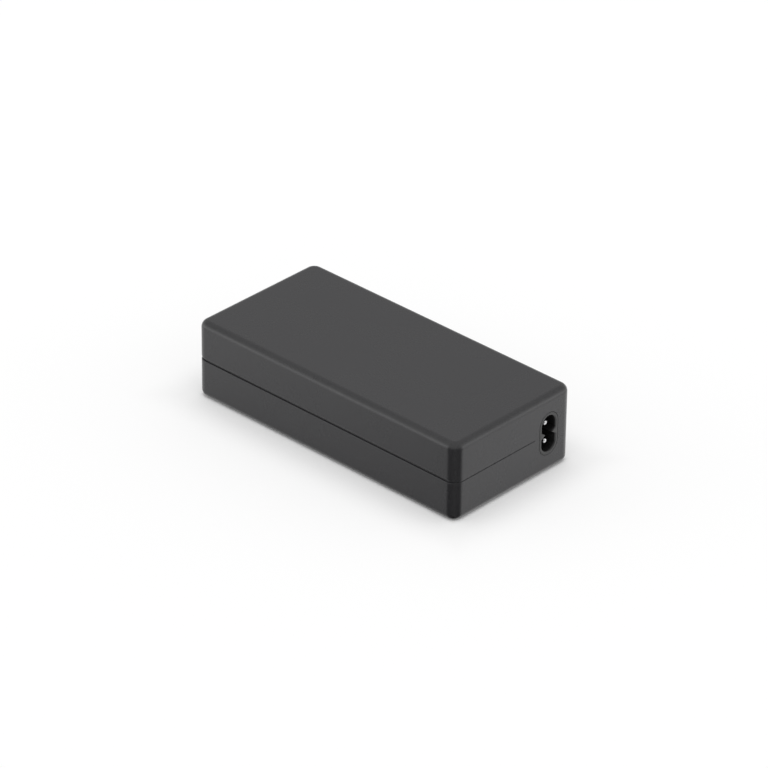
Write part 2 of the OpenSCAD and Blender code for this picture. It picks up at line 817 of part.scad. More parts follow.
module bottom_shell() {
    color(case_grey)
        difference() {
            union() {
                difference() {
                    union() {
                        translate([0, 0, seam_z])
                            mirror([0, 0, 1])
                                case_block(bottom_edge_r);
                        translate([0, 0, seam_z - cut])
                            linear_extrude(tongue_height + cut)
                                case_plan(wall / 2 + tongue_gap);
                    }
                    translate([0, 0, floor_z])
                        linear_extrude(case_height)
                            case_plan(wall);
                    translate([0, 0, seam_z - seam_gap / 2])
                        seam_cut(seam_gap);
                }
                for (p = posts)
                    translate([p.x, p.y, floor_z - wall / 2]) {
                        cylinder(d = post_d, h = board_z - floor_z + wall / 2);
                        cylinder(d = peg_d, h = board_z - floor_z + wall / 2 + board_t - peg_gap);
                    }
                end_ribs(floor_z - wall / 2, seam_z - floor_z + wall / 2);
            }
            end_openings();
            for (x = [-1, 1], y = [-1, 1])
                translate([x * (face_x - foot_inset), y * (case_width / 2 - foot_inset), -cut])
                    cylinder(d = foot_d + 2 * peg_gap, h = foot_t + cut);
        }
}

module rubber_feet() {
    color([0.08, 0.08, 0.08])
        for (x = [-1, 1], y = [-1, 1])
            translate([x * (face_x - foot_inset), y * (case_width / 2 - foot_inset), 0])
                cylinder(d = foot_d, h = foot_t);
}

// ---------------------------------------------------------------- inlet and gland

// Outline of the socket: round ends, and a pointed nose on each side of the waist
module socket_outline() {
    nose_slope = nose_height / 2 / (socket_r - socket_waist / 2);
    nose_root = socket_r + cut;
    root_half = nose_slope * (nose_root - socket_waist / 2);
    difference() {
        stadium(socket_r, pin_spacing);
        for (s = [-1, 1])
            polygon([
                [s * socket_waist / 2, 0],
                [s * nose_root, s * root_half],
                [s * nose_root, -s * root_half]
            ]);
    }
}

module inlet_housing() {
    color(case_grey)
        difference() {
            union() {
                translate([inlet_back_x, inlet_y, seam_z])
                    stadium_x(inlet_r, pin_spacing, face_x - inlet_back_x);
                translate([inside_x - inlet_flange_t, inlet_y, seam_z])
                    stadium_x(inlet_flange_r, pin_spacing, inlet_flange_t);
            }
            translate([face_x - socket_depth, inlet_y, seam_z])
                bar_x(socket_depth + cut)
                    socket_outline();
            for (z = [lower_pin_z, upper_pin_z])
                translate([inlet_back_x - cut, inlet_y, z])
                    rod_x(pin_shank_d + 2 * shank_gap, socket_back + 2 * cut);
        }
}

// Inlet pin: working length with a softened tip, shank in the back wall, collar and solder tail
module inlet_pin(z) {
    color(tin)
        translate([0, inlet_y, z]) {
            translate([face_x - socket_depth - cut, 0, 0])
                rotate([0, 90, 0])
                    rotate_extrude()
                        edge_profile(pin_d / 2, socket_depth - pin_recess + cut, pin_tip_r);
            translate([inlet_back_x, 0, 0])
                rod_x(pin_shank_d, socket_back);
            translate([inlet_back_x - pin_collar_t, 0, 0])
                rod_x(pin_collar_d, pin_collar_t);
            translate([pin_tail_x, 0, 0])
                rod_x(pin_tail_d, pin_tail + pin_collar_t);
        }
}

module inlet_pin_upper() {
    inlet_pin(upper_pin_z);
}

module inlet_pin_lower() {
    inlet_pin(lower_pin_z);
}

// Insulated wire from a pin's tail down to the board, with its bare end through the board
module inlet_wire(end_x, z) {
    translate([pin_tail_x, inlet_y, z])
        bent_wire(wire_d, pin_tail_x - end_x - wire_bend, wire_bend, z - wire_bend - board_top);
    leads([[end_x, inlet_y]], cut);
}

module inlet_wire_upper() {
    color([0.36, 0.20, 0.10])
        inlet_wire(upper_wire_x, upper_pin_z);
}

module inlet_wire_lower() {
    color([0.15, 0.28, 0.62])
        inlet_wire(lower_wire_x, lower_pin_z);
}

module output_gland() {
    color(moulding)
        translate([0, 0, seam_z])
            difference() {
                union() {
                    translate([-face_x, 0, 0])
                        rod_x(gland_d, wall + gland_flange_t);
                    translate([-inside_x, 0, 0])
                        rod_x(gland_d + 2 * gland_flange_side, gland_flange_t);
                    translate([-inside_x, 0, 0])
                        rod_x(gland_tail_d, gland_flange_t + gland_tail);
                }
                translate([-face_x - cut, 0, 0])
                    rod_x(gland_bore_d, face_x);
            }
}

// ---------------------------------------------------------------- board, sheets and spreaders

module circuit_board() {
    color([0.10, 0.36, 0.20])
        translate([0, 0, board_z])
            linear_extrude(board_t)
                difference() {
                    tray_plan();
                    for (p = posts)
                        translate(p)
                            circle(d = peg_d + 2 * peg_gap);
                    for (p = lead_places)
                        translate(p)
                            circle(d = lead_d + 2 * lead_gap);
                    for (p = tab_places)
                        translate(p)
                            square([sink_tab + 2 * peg_gap, sink_t], center = true);
                }
}

module lower_heat_spreader() {
    color(aluminium)
        sheet_with_post_holes(floor_z, spreader_t);
}

module lower_insulating_sheet() {
    color([0.85, 0.83, 0.74])
        sheet_with_post_holes(floor_z + spreader_t, sheet_t);
}

module upper_heat_spreader() {
    color(aluminium)
        sheet_with_post_holes(ceiling_z - spreader_t, spreader_t);
}

module upper_insulating_sheet() {
    color([0.85, 0.83, 0.74])
        sheet_with_post_holes(upper_sheet_z, sheet_t);
}

// ---------------------------------------------------------------- input filter

module fuse() {
    color([0.80, 0.78, 0.70]) {
        translate([fuse_at.x - fuse_length / 2, fuse_at.y, fuse_z])
            rod_x(fuse_d - round_gap, fuse_length);
        for (s = [0, 1])
            translate([fuse_at.x, fuse_at.y, fuse_z])
                mirror([s, 0, 0]) {
                    translate([-fuse_length / 2, 0, 0]) {
                        rod_x(fuse_d, fuse_cap);
                        bent_wire(lead_d, lead_run, lead_bend, fuse_z - lead_bend - board_z + lead_out);
                    }
                }
    }
}

module line_capacitor() {
    color([0.86, 0.72, 0.16]) {
        translate([line_cap_at.x - line_cap_t / 2, line_cap_at.y - line_cap_length / 2, board_top])
            cube([line_cap_t, line_cap_length, line_cap_height]);
        leads(line_cap_leads, cut);
    }
}

module surge_varistor() {
    color([0.12, 0.28, 0.60])
        disc_part(varistor_at, varistor_d, varistor_t, varistor_leads);
}

module inrush_thermistor() {
    color([0.14, 0.20, 0.16])
        disc_part(thermistor_at, thermistor_d, thermistor_t, thermistor_leads, 90);
}

module filter_choke_core() {
    color([0.25, 0.42, 0.32])
        translate([ring_at.x - ring_t / 2, ring_at.y, ring_z])
            difference() {
                rod_x(ring_d, ring_t);
                translate([-cut, 0, 0])
                    rod_x(ring_bore_d, ring_t + 2 * cut);
            }
}

// Winding round one side of the ring: a sleeve with the ring's section left open
module filter_choke_winding(side) {
    inner_r = ring_bore_d / 2 - ring_winding_t;
    outer_r = ring_half;
    space_in = ring_bore_d / 2 - round_gap / 2;
    space_out = ring_d / 2 + round_gap / 2;
    space_t = ring_t + round_gap;
    color(copper)
        translate([ring_at.x, ring_at.y, ring_z])
            rotate([0, 90, 0])
                rotate_extrude(angle = ring_winding_angle, start = side * 90 - ring_winding_angle / 2)
                    difference() {
                        translate([inner_r, -ring_length / 2])
                            square([outer_r - inner_r, ring_length]);
                        translate([space_in, -space_t / 2])
                            square([space_out - space_in, space_t]);
                    }
}

module filter_choke_winding_left() {
    filter_choke_winding(1);
}

module filter_choke_winding_right() {
    filter_choke_winding(-1);
}

module filter_choke_base() {
    color(moulding)
        translate([ring_at.x, ring_at.y, board_top])
            difference() {
                union() {
                    translate([-ring_length / 2, -ring_half, 0])
                        cube([ring_length, 2 * ring_half, ring_base_t]);
                    translate([-ring_t / 2, -ring_saddle_w / 2, 0])
                        cube([ring_t, ring_saddle_w, ring_z - board_top - ring_bore_d / 2]);
                }
                translate([-ring_length, 0, ring_z - board_top])
                    rod_x(ring_d + 2 * round_gap, 2 * ring_length);
            }
    color(moulding)
        leads(ring_leads, cut);
}

// ---------------------------------------------------------------- mains-side power stage

module bridge_rectifier() {
    color(moulding) {
        translate([bridge_at.x - bridge_t / 2, bridge_at.y - bridge_width / 2, board_top + bridge_leg])
            cube([bridge_t, bridge_width, bridge_height]);
        leads(bridge_leads, bridge_leg + cut);
    }
}

module bulk_capacitor() {
    color([0.10, 0.10, 0.14]) {
        translate([bulk_at.x + bulk_length / 2, bulk_at.y, bulk_z])
            rotate([0, -90, 0])
                can(bulk_d, bulk_length);
        for (s = [-1, 1])
            translate([bulk_at.x + bulk_length / 2 - cut, bulk_at.y + s * bulk_pitch / 2, bulk_z])
                mirror([1, 0, 0])
                    bent_wire(lead_d, lead_run + cut, lead_bend, bulk_z - lead_bend - board_z + lead_out);
    }
}

module boost_choke_core_lower() {
    color(ferrite)
        translate([boost_at.x, boost_at.y, core_z])
            core_half_block(boost_core_length, boost_core_width, boost_core_height / 2, core_post_r);
}

module boost_choke_core_upper() {
    color(ferrite)
        translate([boost_at.x, boost_at.y, core_z + boost_core_height])
            mirror([0, 0, 1])
                core_half_block(boost_core_length, boost_core_width, boost_core_height / 2, core_post_r);
}

module boost_choke_bobbin() {
    color([0.16, 0.14, 0.13]) {
        translate([boost_at.x, boost_at.y, board_top])
            core_bobbin(boost_core_length, boost_core_width, boost_core_height, core_post_r);
        leads(boost_leads, cut);
    }
}

module boost_choke_winding() {
    color(copper)
        translate([boost_at.x, boost_at.y, board_top])
            core_winding(
                boost_core_height,
                core_post_r + round_gap + bobbin_t + round_gap,
                boost_core_length / 2 - core_plate - 2 * round_gap
            );
}

module primary_heat_sink() {
    color(aluminium)
        heat_sink(primary_sink_x, primary_sink_length, switch_x);
}

module primary_thermal_pad() {
    color([0.50, 0.62, 0.72])
        sink_pad(primary_sink_x, primary_sink_length);
}

module switch_transistors() {
    color(moulding)
        for (x = switch_x)
            power_chip(x);
}

module switch_insulators() {
    color([0.78, 0.70, 0.55])
        for (x = switch_x)
            insulator(x);
}

// ---------------------------------------------------------------- transformer

module transformer_core_lower() {
    color(ferrite)
        translate([core_at.x, core_at.y, core_z])
            core_half_block(core_length, core_width, core_height / 2, core_post_r);
}

module transformer_core_upper() {
    color(ferrite)
        translate([core_at.x, core_at.y, core_z + core_height])
            mirror([0, 0, 1])
                core_half_block(core_length, core_width, core_height / 2, core_post_r);
}

module transformer_bobbin() {
    color([0.16, 0.14, 0.13])
        translate([core_at.x, core_at.y, board_top])
            core_bobbin(core_length, core_width, core_height, core_post_r);
}

module primary_winding() {
    color(copper)
        translate([core_at.x, core_at.y, board_top])
            core_winding(core_height, primary_winding_in, winding_split - round_gap / 2);
}

module secondary_winding() {
    color([0.82, 0.66, 0.18])
        translate([core_at.x, core_at.y, board_top])
            core_winding(core_height, winding_split + round_gap / 2, secondary_winding_out);
}

module transformer_pins() {
    color(tin)
        leads(core_leads, 0);
}

module transformer_thermal_pad() {
    color([0.50, 0.62, 0.72])
        translate([core_at.x - core_width / 2, core_at.y - core_length / 2, core_z + core_height])
            cube([core_width, core_length, core_pad_t]);
}

// ---------------------------------------------------------------- isolation and control

module safety_capacitor() {
    color([0.20, 0.42, 0.70])
        disc_part(safety_cap_at, safety_cap_d, safety_cap_t, safety_cap_leads);
}

module optocoupler() {
    color([0.90, 0.89, 0.86]) {
        translate([opto_at.x - opto_length / 2, opto_at.y - opto_width / 2, board_top])
            cube([opto_length, opto_width, opto_height]);
        for (p = opto_leads)
            translate([min(p.x, opto_at.x), p.y - lead_d / 2, board_top + opto_height / 2])
                cube([abs(p.x - opto_at.x), lead_d, lead_d]);
        leads(opto_leads, opto_height / 2 + lead_d);
    }
}

module controller_chip() {
    color(moulding) {
        translate([
            control_at.x - control_width / 2, control_at.y - control_length / 2, board_top + control_standoff
        ])
            cube([control_width, control_length, control_height]);
        for (i = [-3:3])
            translate([
                control_at.x - control_span / 2,
                control_at.y + i * control_pitch - control_foot_w / 2,
                board_top
            ])
                cube([control_span, control_foot_w, control_foot_t]);
    }
}

// ---------------------------------------------------------------- output stage

module output_heat_sink() {
    color(aluminium)
        heat_sink(output_sink_x, output_sink_length, rectifier_x);
}

module output_thermal_pad() {
    color([0.50, 0.62, 0.72])
        sink_pad(output_sink_x, output_sink_length);
}

module output_rectifiers() {
    color(moulding)
        for (x = rectifier_x)
            power_chip(x);
}

module rectifier_insulators() {
    color([0.78, 0.70, 0.55])
        for (x = rectifier_x)
            insulator(x);
}

module fixing_screws() {
    color(tin)
        for (x = concat(switch_x, rectifier_x))
            screw(x);
}

module output_capacitors() {
    color([0.13, 0.18, 0.30]) {
        for (p = out_cap_places)
            translate([p.x, p.y, board_top])
                can(out_cap_d, out_cap_height);
        leads(out_cap_leads, cut);
    }
}

module output_choke_core() {
    color(ferrite) {
        translate([drum_at.x, drum_at.y, board_top]) {
            cylinder(d = drum_neck_d, h = drum_height);
            for (z = [0, drum_height - drum_flange])
                translate([0, 0, z])
                    cylinder(d = drum_d, h = drum_flange);
        }
        leads(drum_leads, cut);
    }
}

module output_choke_winding() {
    color(copper)
        translate([drum_at.x, drum_at.y, board_top + drum_flange])
            difference() {
                cylinder(d = drum_d - 2 * drum_edge, h = drum_height - 2 * drum_flange);
                translate([0, 0, -cut])
                    cylinder(d = drum_neck_d + 2 * round_gap, h = drum_height);
            }
}

module output_terminals() {
    color(tin) {
        for (p = terminal_places)
            translate([p.x, p.y, board_top])
                cylinder(d = terminal_d, h = terminal_height);
        leads(terminal_places, cut);
    }
}

top_shell();
bottom_shell();
rubber_feet();
inlet_housing();
inlet_pin_upper();
inlet_pin_lower();
inlet_wire_upper();
inlet_wire_lower();
output_gland();
circuit_board();
lower_heat_spreader();
lower_insulating_sheet();
upper_heat_spreader();
upper_insulating_sheet();
fuse();
line_capacitor();
surge_varistor();
inrush_thermistor();
filter_choke_core();
filter_choke_winding_left();
filter_choke_winding_right();
filter_choke_base();
bridge_rectifier();
bulk_capacitor();
boost_choke_core_lower();
boost_choke_core_upper();
boost_choke_bobbin();
boost_choke_winding();
primary_heat_sink();
primary_thermal_pad();
switch_transistors();
switch_insulators();
transformer_core_lower();
transformer_core_upper();
transformer_bobbin();
primary_winding();
secondary_winding();
transformer_pins();
transformer_thermal_pad();
safety_capacitor();
optocoupler();
controller_chip();
output_heat_sink();
output_thermal_pad();
output_rectifiers();
rectifier_insulators();
fixing_screws();
output_capacitors();
output_choke_core();
output_choke_winding();
output_terminals();
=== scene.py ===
# %% [markdown]
# # A laptop power adapter
#
# The adapter is a flat brick in two moulded halves. One end holds an upright two-pin mains inlet, the
# other end a rubber gland for the low-voltage lead, and four rubber feet carry it. The engineering
# model comes packed, as one mesh for each piece. This lesson gives every piece its finish, and builds
# the pieces that show again as fine surfaces with softened edges.
#
# The imported model is loaded first, because everything else is placed by it. Its box is kept, and the
# plastic finishes are placed by it.

# %% Load the imported model
import json

import bpy
import numpy as np
from mathutils import Matrix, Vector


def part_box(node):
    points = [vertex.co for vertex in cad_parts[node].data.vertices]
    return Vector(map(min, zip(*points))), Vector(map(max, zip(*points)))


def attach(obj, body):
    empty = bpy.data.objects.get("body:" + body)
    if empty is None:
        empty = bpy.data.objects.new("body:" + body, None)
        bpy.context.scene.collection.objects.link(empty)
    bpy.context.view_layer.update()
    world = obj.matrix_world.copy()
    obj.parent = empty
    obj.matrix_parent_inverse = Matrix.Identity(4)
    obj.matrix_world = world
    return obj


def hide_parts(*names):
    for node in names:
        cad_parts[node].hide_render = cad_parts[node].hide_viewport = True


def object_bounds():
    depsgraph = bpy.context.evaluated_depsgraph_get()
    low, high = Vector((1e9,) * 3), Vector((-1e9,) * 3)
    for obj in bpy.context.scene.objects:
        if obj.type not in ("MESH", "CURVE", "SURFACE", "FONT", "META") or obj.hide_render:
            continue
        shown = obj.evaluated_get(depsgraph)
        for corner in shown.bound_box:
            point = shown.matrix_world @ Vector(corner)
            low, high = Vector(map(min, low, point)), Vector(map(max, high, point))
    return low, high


MM = 0.001

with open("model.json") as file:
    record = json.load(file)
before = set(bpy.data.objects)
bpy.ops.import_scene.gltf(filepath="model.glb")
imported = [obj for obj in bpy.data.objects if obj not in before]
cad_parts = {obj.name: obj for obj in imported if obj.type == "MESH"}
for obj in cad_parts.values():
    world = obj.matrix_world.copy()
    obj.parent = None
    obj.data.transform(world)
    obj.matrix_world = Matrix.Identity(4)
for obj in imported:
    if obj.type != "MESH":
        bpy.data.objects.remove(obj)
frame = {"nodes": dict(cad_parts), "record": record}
nodes = frame["nodes"]
cad_low, cad_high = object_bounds()
print("packed nodes:", len(nodes))
print("packed box, mm:", [round(size / MM, 1) for size in cad_high - cad_low])

# %% [markdown]
# ## The camera
#
# A product picture of a box is usually taken from far away with a long lens, so that its long edges
# stay nearly parallel. The camera is described by what it looks at, from which side, how high and how
# far, and those facts are turned into its axes. A look-at constraint would do the same, but a
# written matrix also takes the small roll of a hand-levelled tripod.

# %% Camera
VIEW_AZIMUTH = np.radians(43.02)
VIEW_ELEVATION = np.radians(30.64)
VIEW_ROLL = np.radians(0.66)
VIEW_DISTANCE = 2.0453
VIEW_TARGET = np.array([-0.00511, 0.00654, 0.0154])
SENSOR = 36.0
FOCAL_PIXELS = 4943.1
PICTURE_WIDTH = 768
FAR_CLIP = 50.0


def camera_axes(azimuth, elevation, roll):
    """Right, up and back axes of a camera that stands at an azimuth from -Y and an elevation.

    Back points from the target to the camera. Right is level and square to back, up is their cross
    product, and the roll turns right and up about back.
    """
    back = np.array([
        np.sin(azimuth) * np.cos(elevation),
        -np.cos(azimuth) * np.cos(elevation),
        np.sin(elevation),
    ])
    right = np.cross([0.0, 0.0, 1.0], back)
    right /= np.linalg.norm(right)
    up = np.cross(back, right)
    turned_right = np.cos(roll) * right + np.sin(roll) * up
    turned_up = np.cos(roll) * up - np.sin(roll) * right
    return turned_right, turned_up, back


right_axis, up_axis, back_axis = camera_axes(VIEW_AZIMUTH, VIEW_ELEVATION, VIEW_ROLL)
placing = np.eye(4)
placing[:3, :4] = np.column_stack([
    right_axis, up_axis, back_axis, VIEW_TARGET + VIEW_DISTANCE * back_axis,
])
lens = bpy.data.cameras.new("camera")
lens.sensor_width = SENSOR
lens.lens = SENSOR * FOCAL_PIXELS / PICTURE_WIDTH
lens.clip_end = FAR_CLIP
camera = bpy.data.objects.new("camera", lens)
camera.matrix_world = Matrix(placing.tolist())
bpy.context.scene.collection.objects.link(camera)
bpy.context.scene.camera = camera
bpy.context.scene.view_settings.view_transform = "Standard"
print("lens, mm:", round(lens.lens, 1))

# %% [markdown]
# ## Nodes written as code
#
# A material is a tree of nodes. Writing a node takes one call here: its kind, its inputs and its
# settings, where an input may be a number or the output socket of another node. Effects that several
# finishes share become node groups, built once and placed in each material with its own values.

# %% Node helpers


def fill(tree, node, inputs):
    """Sets a node's inputs: a socket is linked, anything else becomes the default value."""
    for name, value in inputs.items():
        if isinstance(value, bpy.types.NodeSocket):
            tree.links.new(value, node.inputs[name])
        else:
            node.inputs[name].default_value = value
    return node


def add_node(tree, kind, inputs=None, **settings):
    """Adds a shader node, sets its properties, then fills its inputs."""
    node = tree.nodes.new("ShaderNode" + kind)
    for name, value in settings.items():
        setattr(node, name, value)
    return fill(tree, node, inputs or {})


def maths(tree, operation, *values):
    """One Math node; gives its output socket."""
    return add_node(tree, "Math", dict(enumerate(values)), operation=operation).outputs[0]


def scaled(tree, value, factor, offset):
    """value * factor + offset."""
    return maths(tree, "MULTIPLY_ADD", value, factor, offset)


def vector_maths(tree, operation, *values, output="Vector"):
    """One Vector Math node; gives its vector, or its number where output is "Value"."""
    return add_node(tree, "VectorMath", dict(enumerate(values)), operation=operation).outputs[output]


def dot(tree, first, second):
    """The dot product of two vectors, as a number."""
    return vector_maths(tree, "DOT_PRODUCT", first, second, output="Value")


def axes_of(tree, vector):
    """The three numbers of a vector, as outputs named X, Y and Z."""
    return add_node(tree, "SeparateXYZ", {"Vector": vector}).outputs


def past_box(tree, at, middle, half):
    """How far a point lies past a box along each axis: |at - middle| - half, below 0 inside."""
    apart = vector_maths(tree, "ABSOLUTE", vector_maths(tree, "SUBTRACT", at, middle))
    return axes_of(tree, vector_maths(tree, "SUBTRACT", apart, half))


def eased(tree, value, from_low, from_high, to_low, to_high):
    """A value carried from one range to another along an S curve, and held at both ends."""
    inputs = {
        "Value": value, "From Min": from_low, "From Max": from_high,
        "To Min": to_low, "To Max": to_high,
    }
    return add_node(tree, "MapRange", inputs, interpolation_type="SMOOTHSTEP").outputs["Result"]


def noise(tree, at, scale, detail=2.0, distortion=0.0):
    """Plain noise, with as many cells to the metre as the scale says."""
    inputs = {"Vector": at, "Scale": scale, "Detail": detail, "Distortion": distortion}
    return add_node(tree, "TexNoise", inputs).outputs["Fac"]


def cells(tree, at, scale, inputs=None, **settings):
    """A distance in a Voronoi pattern of that many cells to the metre; settings say which distance."""
    inputs = {"Vector": at, "Scale": scale} | (inputs or {})
    return add_node(tree, "TexVoronoi", inputs, **settings).outputs["Distance"]


def new_group(name, inputs, outputs):
    """An empty node group; gives its tree, its input sockets and its output node.

    Inputs are named with their defaults, where None stands for a vector. The outputs are numbers.
    """
    tree = bpy.data.node_groups.new(name, "ShaderNodeTree")
    for label, default in inputs.items():
        kind = "NodeSocketVector" if default is None else "NodeSocketFloat"
        socket = tree.interface.new_socket(label, in_out="INPUT", socket_type=kind)
        if default is not None:
            socket.default_value = default
    for label in outputs:
        tree.interface.new_socket(label, in_out="OUTPUT", socket_type="NodeSocketFloat")
    given = tree.nodes.new("NodeGroupInput")
    return tree, given.outputs, tree.nodes.new("NodeGroupOutput")


def place(tree, group, inputs):
    """Places a node group in a material and gives its outputs."""
    return fill(tree, add_node(tree, "Group", node_tree=group), inputs).outputs


def object_place(tree):
    """A point's place in the object's own metres, which stays put when the object moves."""
    return add_node(tree, "TexCoord").outputs["Object"]


# %% [markdown]
# ## Shared effects
#
# Five effects come back in many finishes:
#
# - the fine grain that a spark-eroded mould leaves on plastic, and the slower waviness under it,
# - handling, which polishes a surface in faint patches,
# - the edge mask, which is 1 on the rounded edges of a box and 0 on its faces,
# - fine parallel lines, for brushed or rolled metal,
# - a mask of what lies outside a box, for the bare leads of a part with a coated body.
#
# Each group puts out only masks and heights. The shader itself stays in the material.

# %% Grain and handling groups
DOT_DETAIL, DOT_ROUNDING = 3.0, 0.6
DOT_SHARE, SWELL_SHARE = -0.6, 0.8
PATCH_DETAIL, PATCH_DISTORTION = 5.0, 0.7
PATCH_FROM, PATCH_TO = 0.32, 0.68
DUST_SCALE, DUST_DETAIL = 2600.0, 0.0
DUST_FROM, DUST_TO = 0.80, 0.86


def grain_group():
    """Height of a moulded surface: fine round dots, carried on a slower swell."""
    tree, given, out = new_group(
        "moulded_grain", {"Place": None, "Dot Size": 0.3 * MM, "Swell Size": 4 * MM}, ("Height", "Dots")
    )
    at = given["Place"]
    dot_scale = maths(tree, "DIVIDE", 1.0, given["Dot Size"])
    swell_scale = maths(tree, "DIVIDE", 1.0, given["Swell Size"])
    pits = cells(tree, at, dot_scale, {"Smoothness": DOT_ROUNDING}, feature="SMOOTH_F1")
    dots = scaled(tree, pits, DOT_SHARE, noise(tree, at, dot_scale, DOT_DETAIL))
    swell = noise(tree, at, swell_scale)
    fill(tree, out, {"Dots": dots, "Height": scaled(tree, swell, SWELL_SHARE, dots)})
    return tree


def handling_group():
    """Faint cloudy patches where hands and cloth have polished a surface, and sparse dust specks."""
    tree, given, out = new_group("handling", {"Place": None, "Patch Size": 30 * MM}, ("Polish", "Dust"))
    patch_scale = maths(tree, "DIVIDE", 1.0, given["Patch Size"])
    cloud = noise(tree, given["Place"], patch_scale, PATCH_DETAIL, PATCH_DISTORTION)
    specks = noise(tree, given["Place"], DUST_SCALE, DUST_DETAIL)
    fill(tree, out, {
        "Polish": eased(tree, cloud, PATCH_FROM, PATCH_TO, 0.0, 1.0),
        "Dust": eased(tree, specks, DUST_FROM, DUST_TO, 0.0, 1.0),
    })
    return tree


moulded_grain = grain_group()
handling = handling_group()
print("groups:", moulded_grain.name, handling.name)

# %% Edge, line and box groups
EDGE_FROM, EDGE_TO = 0.05, 0.75
BREAK_SCALE, BREAK_FROM, BREAK_TO = 420.0, 0.25, 0.70
FINE_DETAIL = 4.0
LEAST_WEAR = 0.35
BOX_TOLERANCE = 0.01 * MM


def edge_group():
    """Mask of a box's edges, worked out from its middle, half sizes and edge radius.

    Along each axis, reach runs from 0 to 1 over the last radius before the face. A point on a face
    has one reach of 1, and a point on an edge has two above 0, so the middle one of the three reaches
    is the mask. Noise breaks it up, because wear is never even.
    """
    tree, given, out = new_group(
        "edge_mask", {"Place": None, "Middle": None, "Half Size": None, "Radius": 3 * MM}, ("Edge",)
    )
    past = past_box(tree, given["Place"], given["Middle"], given["Half Size"])
    reach = [
        maths(tree, "ADD", maths(tree, "DIVIDE", past[axis], given["Radius"]), 1.0)
        for axis in ("X", "Y", "Z")
    ]
    low = maths(tree, "MINIMUM", reach[0], reach[1])
    high = maths(tree, "MAXIMUM", reach[0], reach[1])
    middle_reach = maths(tree, "MAXIMUM", low, maths(tree, "MINIMUM", high, reach[2]))
    broken = noise(tree, given["Place"], BREAK_SCALE, FINE_DETAIL)
    fill(tree, out, {"Edge": maths(
        tree, "MULTIPLY", eased(tree, middle_reach, EDGE_FROM, EDGE_TO, 0.0, 1.0),
        eased(tree, broken, BREAK_FROM, BREAK_TO, LEAST_WEAR, 1.0),
    )})
    return tree


def lines_group():
    """Fine lines along one direction: noise squeezed across it and stretched along it."""
    tree, given, out = new_group("fine_lines", {"Place": None, "Stretch": None}, ("Lines",))
    stretched = vector_maths(tree, "MULTIPLY", given["Place"], given["Stretch"])
    fill(tree, out, {"Lines": noise(tree, stretched, 1.0, FINE_DETAIL)})
    return tree


def beyond_group():
    """1 where a point lies outside a box and 0 inside, from the box's middle and half size."""
    tree, given, out = new_group(
        "beyond_box", {"Place": None, "Middle": None, "Half Size": None}, ("Beyond",)
    )
    past = past_box(tree, given["Place"], given["Middle"], given["Half Size"])
    furthest = maths(tree, "MAXIMUM", maths(tree, "MAXIMUM", past["X"], past["Y"]), past["Z"])
    fill(tree, out, {"Beyond": maths(tree, "GREATER_THAN", furthest, BOX_TOLERANCE)})
    return tree


edge_mask = edge_group()
fine_lines = lines_group()
beyond_box = beyond_group()
print("groups:", edge_mask.name, fine_lines.name, beyond_box.name)

# %% [markdown]
# ## The case plastic
#
# Both halves of the case are a dark grey blend with a satin, spark-eroded face. Most of what the eye
# sees on such a dark plastic is the soft mirror image of the room, so roughness and bump matter more
# than colour. The colour is one value written on the shader, and noise only lifts it a little on
# handled edges. The inlet's moulding uses the same recipe with a shallower relief, and its socket turns
# rough towards the inside, where the mould's core isn't polished. Its colour darkens there too, as
# painted shade of the deep socket.

# %% Material helpers


def empty_tree(owner):
    """The node tree of a material or a world, with nothing in it."""
    owner.use_nodes = True
    owner.node_tree.nodes.clear()
    return owner.node_tree


def new_material(name):
    """A material with nothing but a shader and its output; gives it, its tree and its shader."""
    material = bpy.data.materials.new(name)
    tree = empty_tree(material)
    shader = add_node(tree, "BsdfPrincipled")
    add_node(tree, "OutputMaterial", {"Surface": shader.outputs["BSDF"]})
    return material, tree, shader


def bump(tree, height, distance):
    """Turns a height that runs from 0 to 1 into a normal; distance is the height of 1, in metres."""
    return add_node(tree, "Bump", {"Height": height, "Distance": distance}).outputs["Normal"]


def as_colour(value):
    """A colour socket as it is, or three numbers with a fourth for full opacity."""
    return value if isinstance(value, bpy.types.NodeSocket) else (*value, 1.0)


def blended(tree, amount, first, second):
    """A colour between two, by a mask. The Mix node has its colours in its sockets 6 and 7."""
    inputs = {0: amount, 6: as_colour(first), 7: as_colour(second)}
    return add_node(tree, "Mix", inputs, data_type="RGBA").outputs[2]


def tinted(colour, tint):
    """A colour with each of its parts multiplied by the tint."""
    return tuple(part * tint for part in colour)


# %% Case plastics
CASE_MIDDLE = tuple((cad_low + cad_high) / 2)
CASE_HALF = tuple((cad_high - cad_low) / 2)
CASE_ROUGHNESS = 0.29
CASE_SWELL, CASE_PATCH = 6 * MM, 35 * MM
EDGE_LIGHTER = 0.5
HANDLED_ROUGHNESS, EDGE_ROUGHNESS, DOT_ROUGHNESS = -0.045, -0.03, 0.04
# Painted shade in the socket: how far in it starts, over what depth it fades in, and how dark it makes the
# colour.
SHADE_DEPTH, SHADE_FADE = 1.2 * MM, 1.4 * MM
PAINTED_SHADE_TINT, CORE_ROUGHNESS = 0.2, 0.35


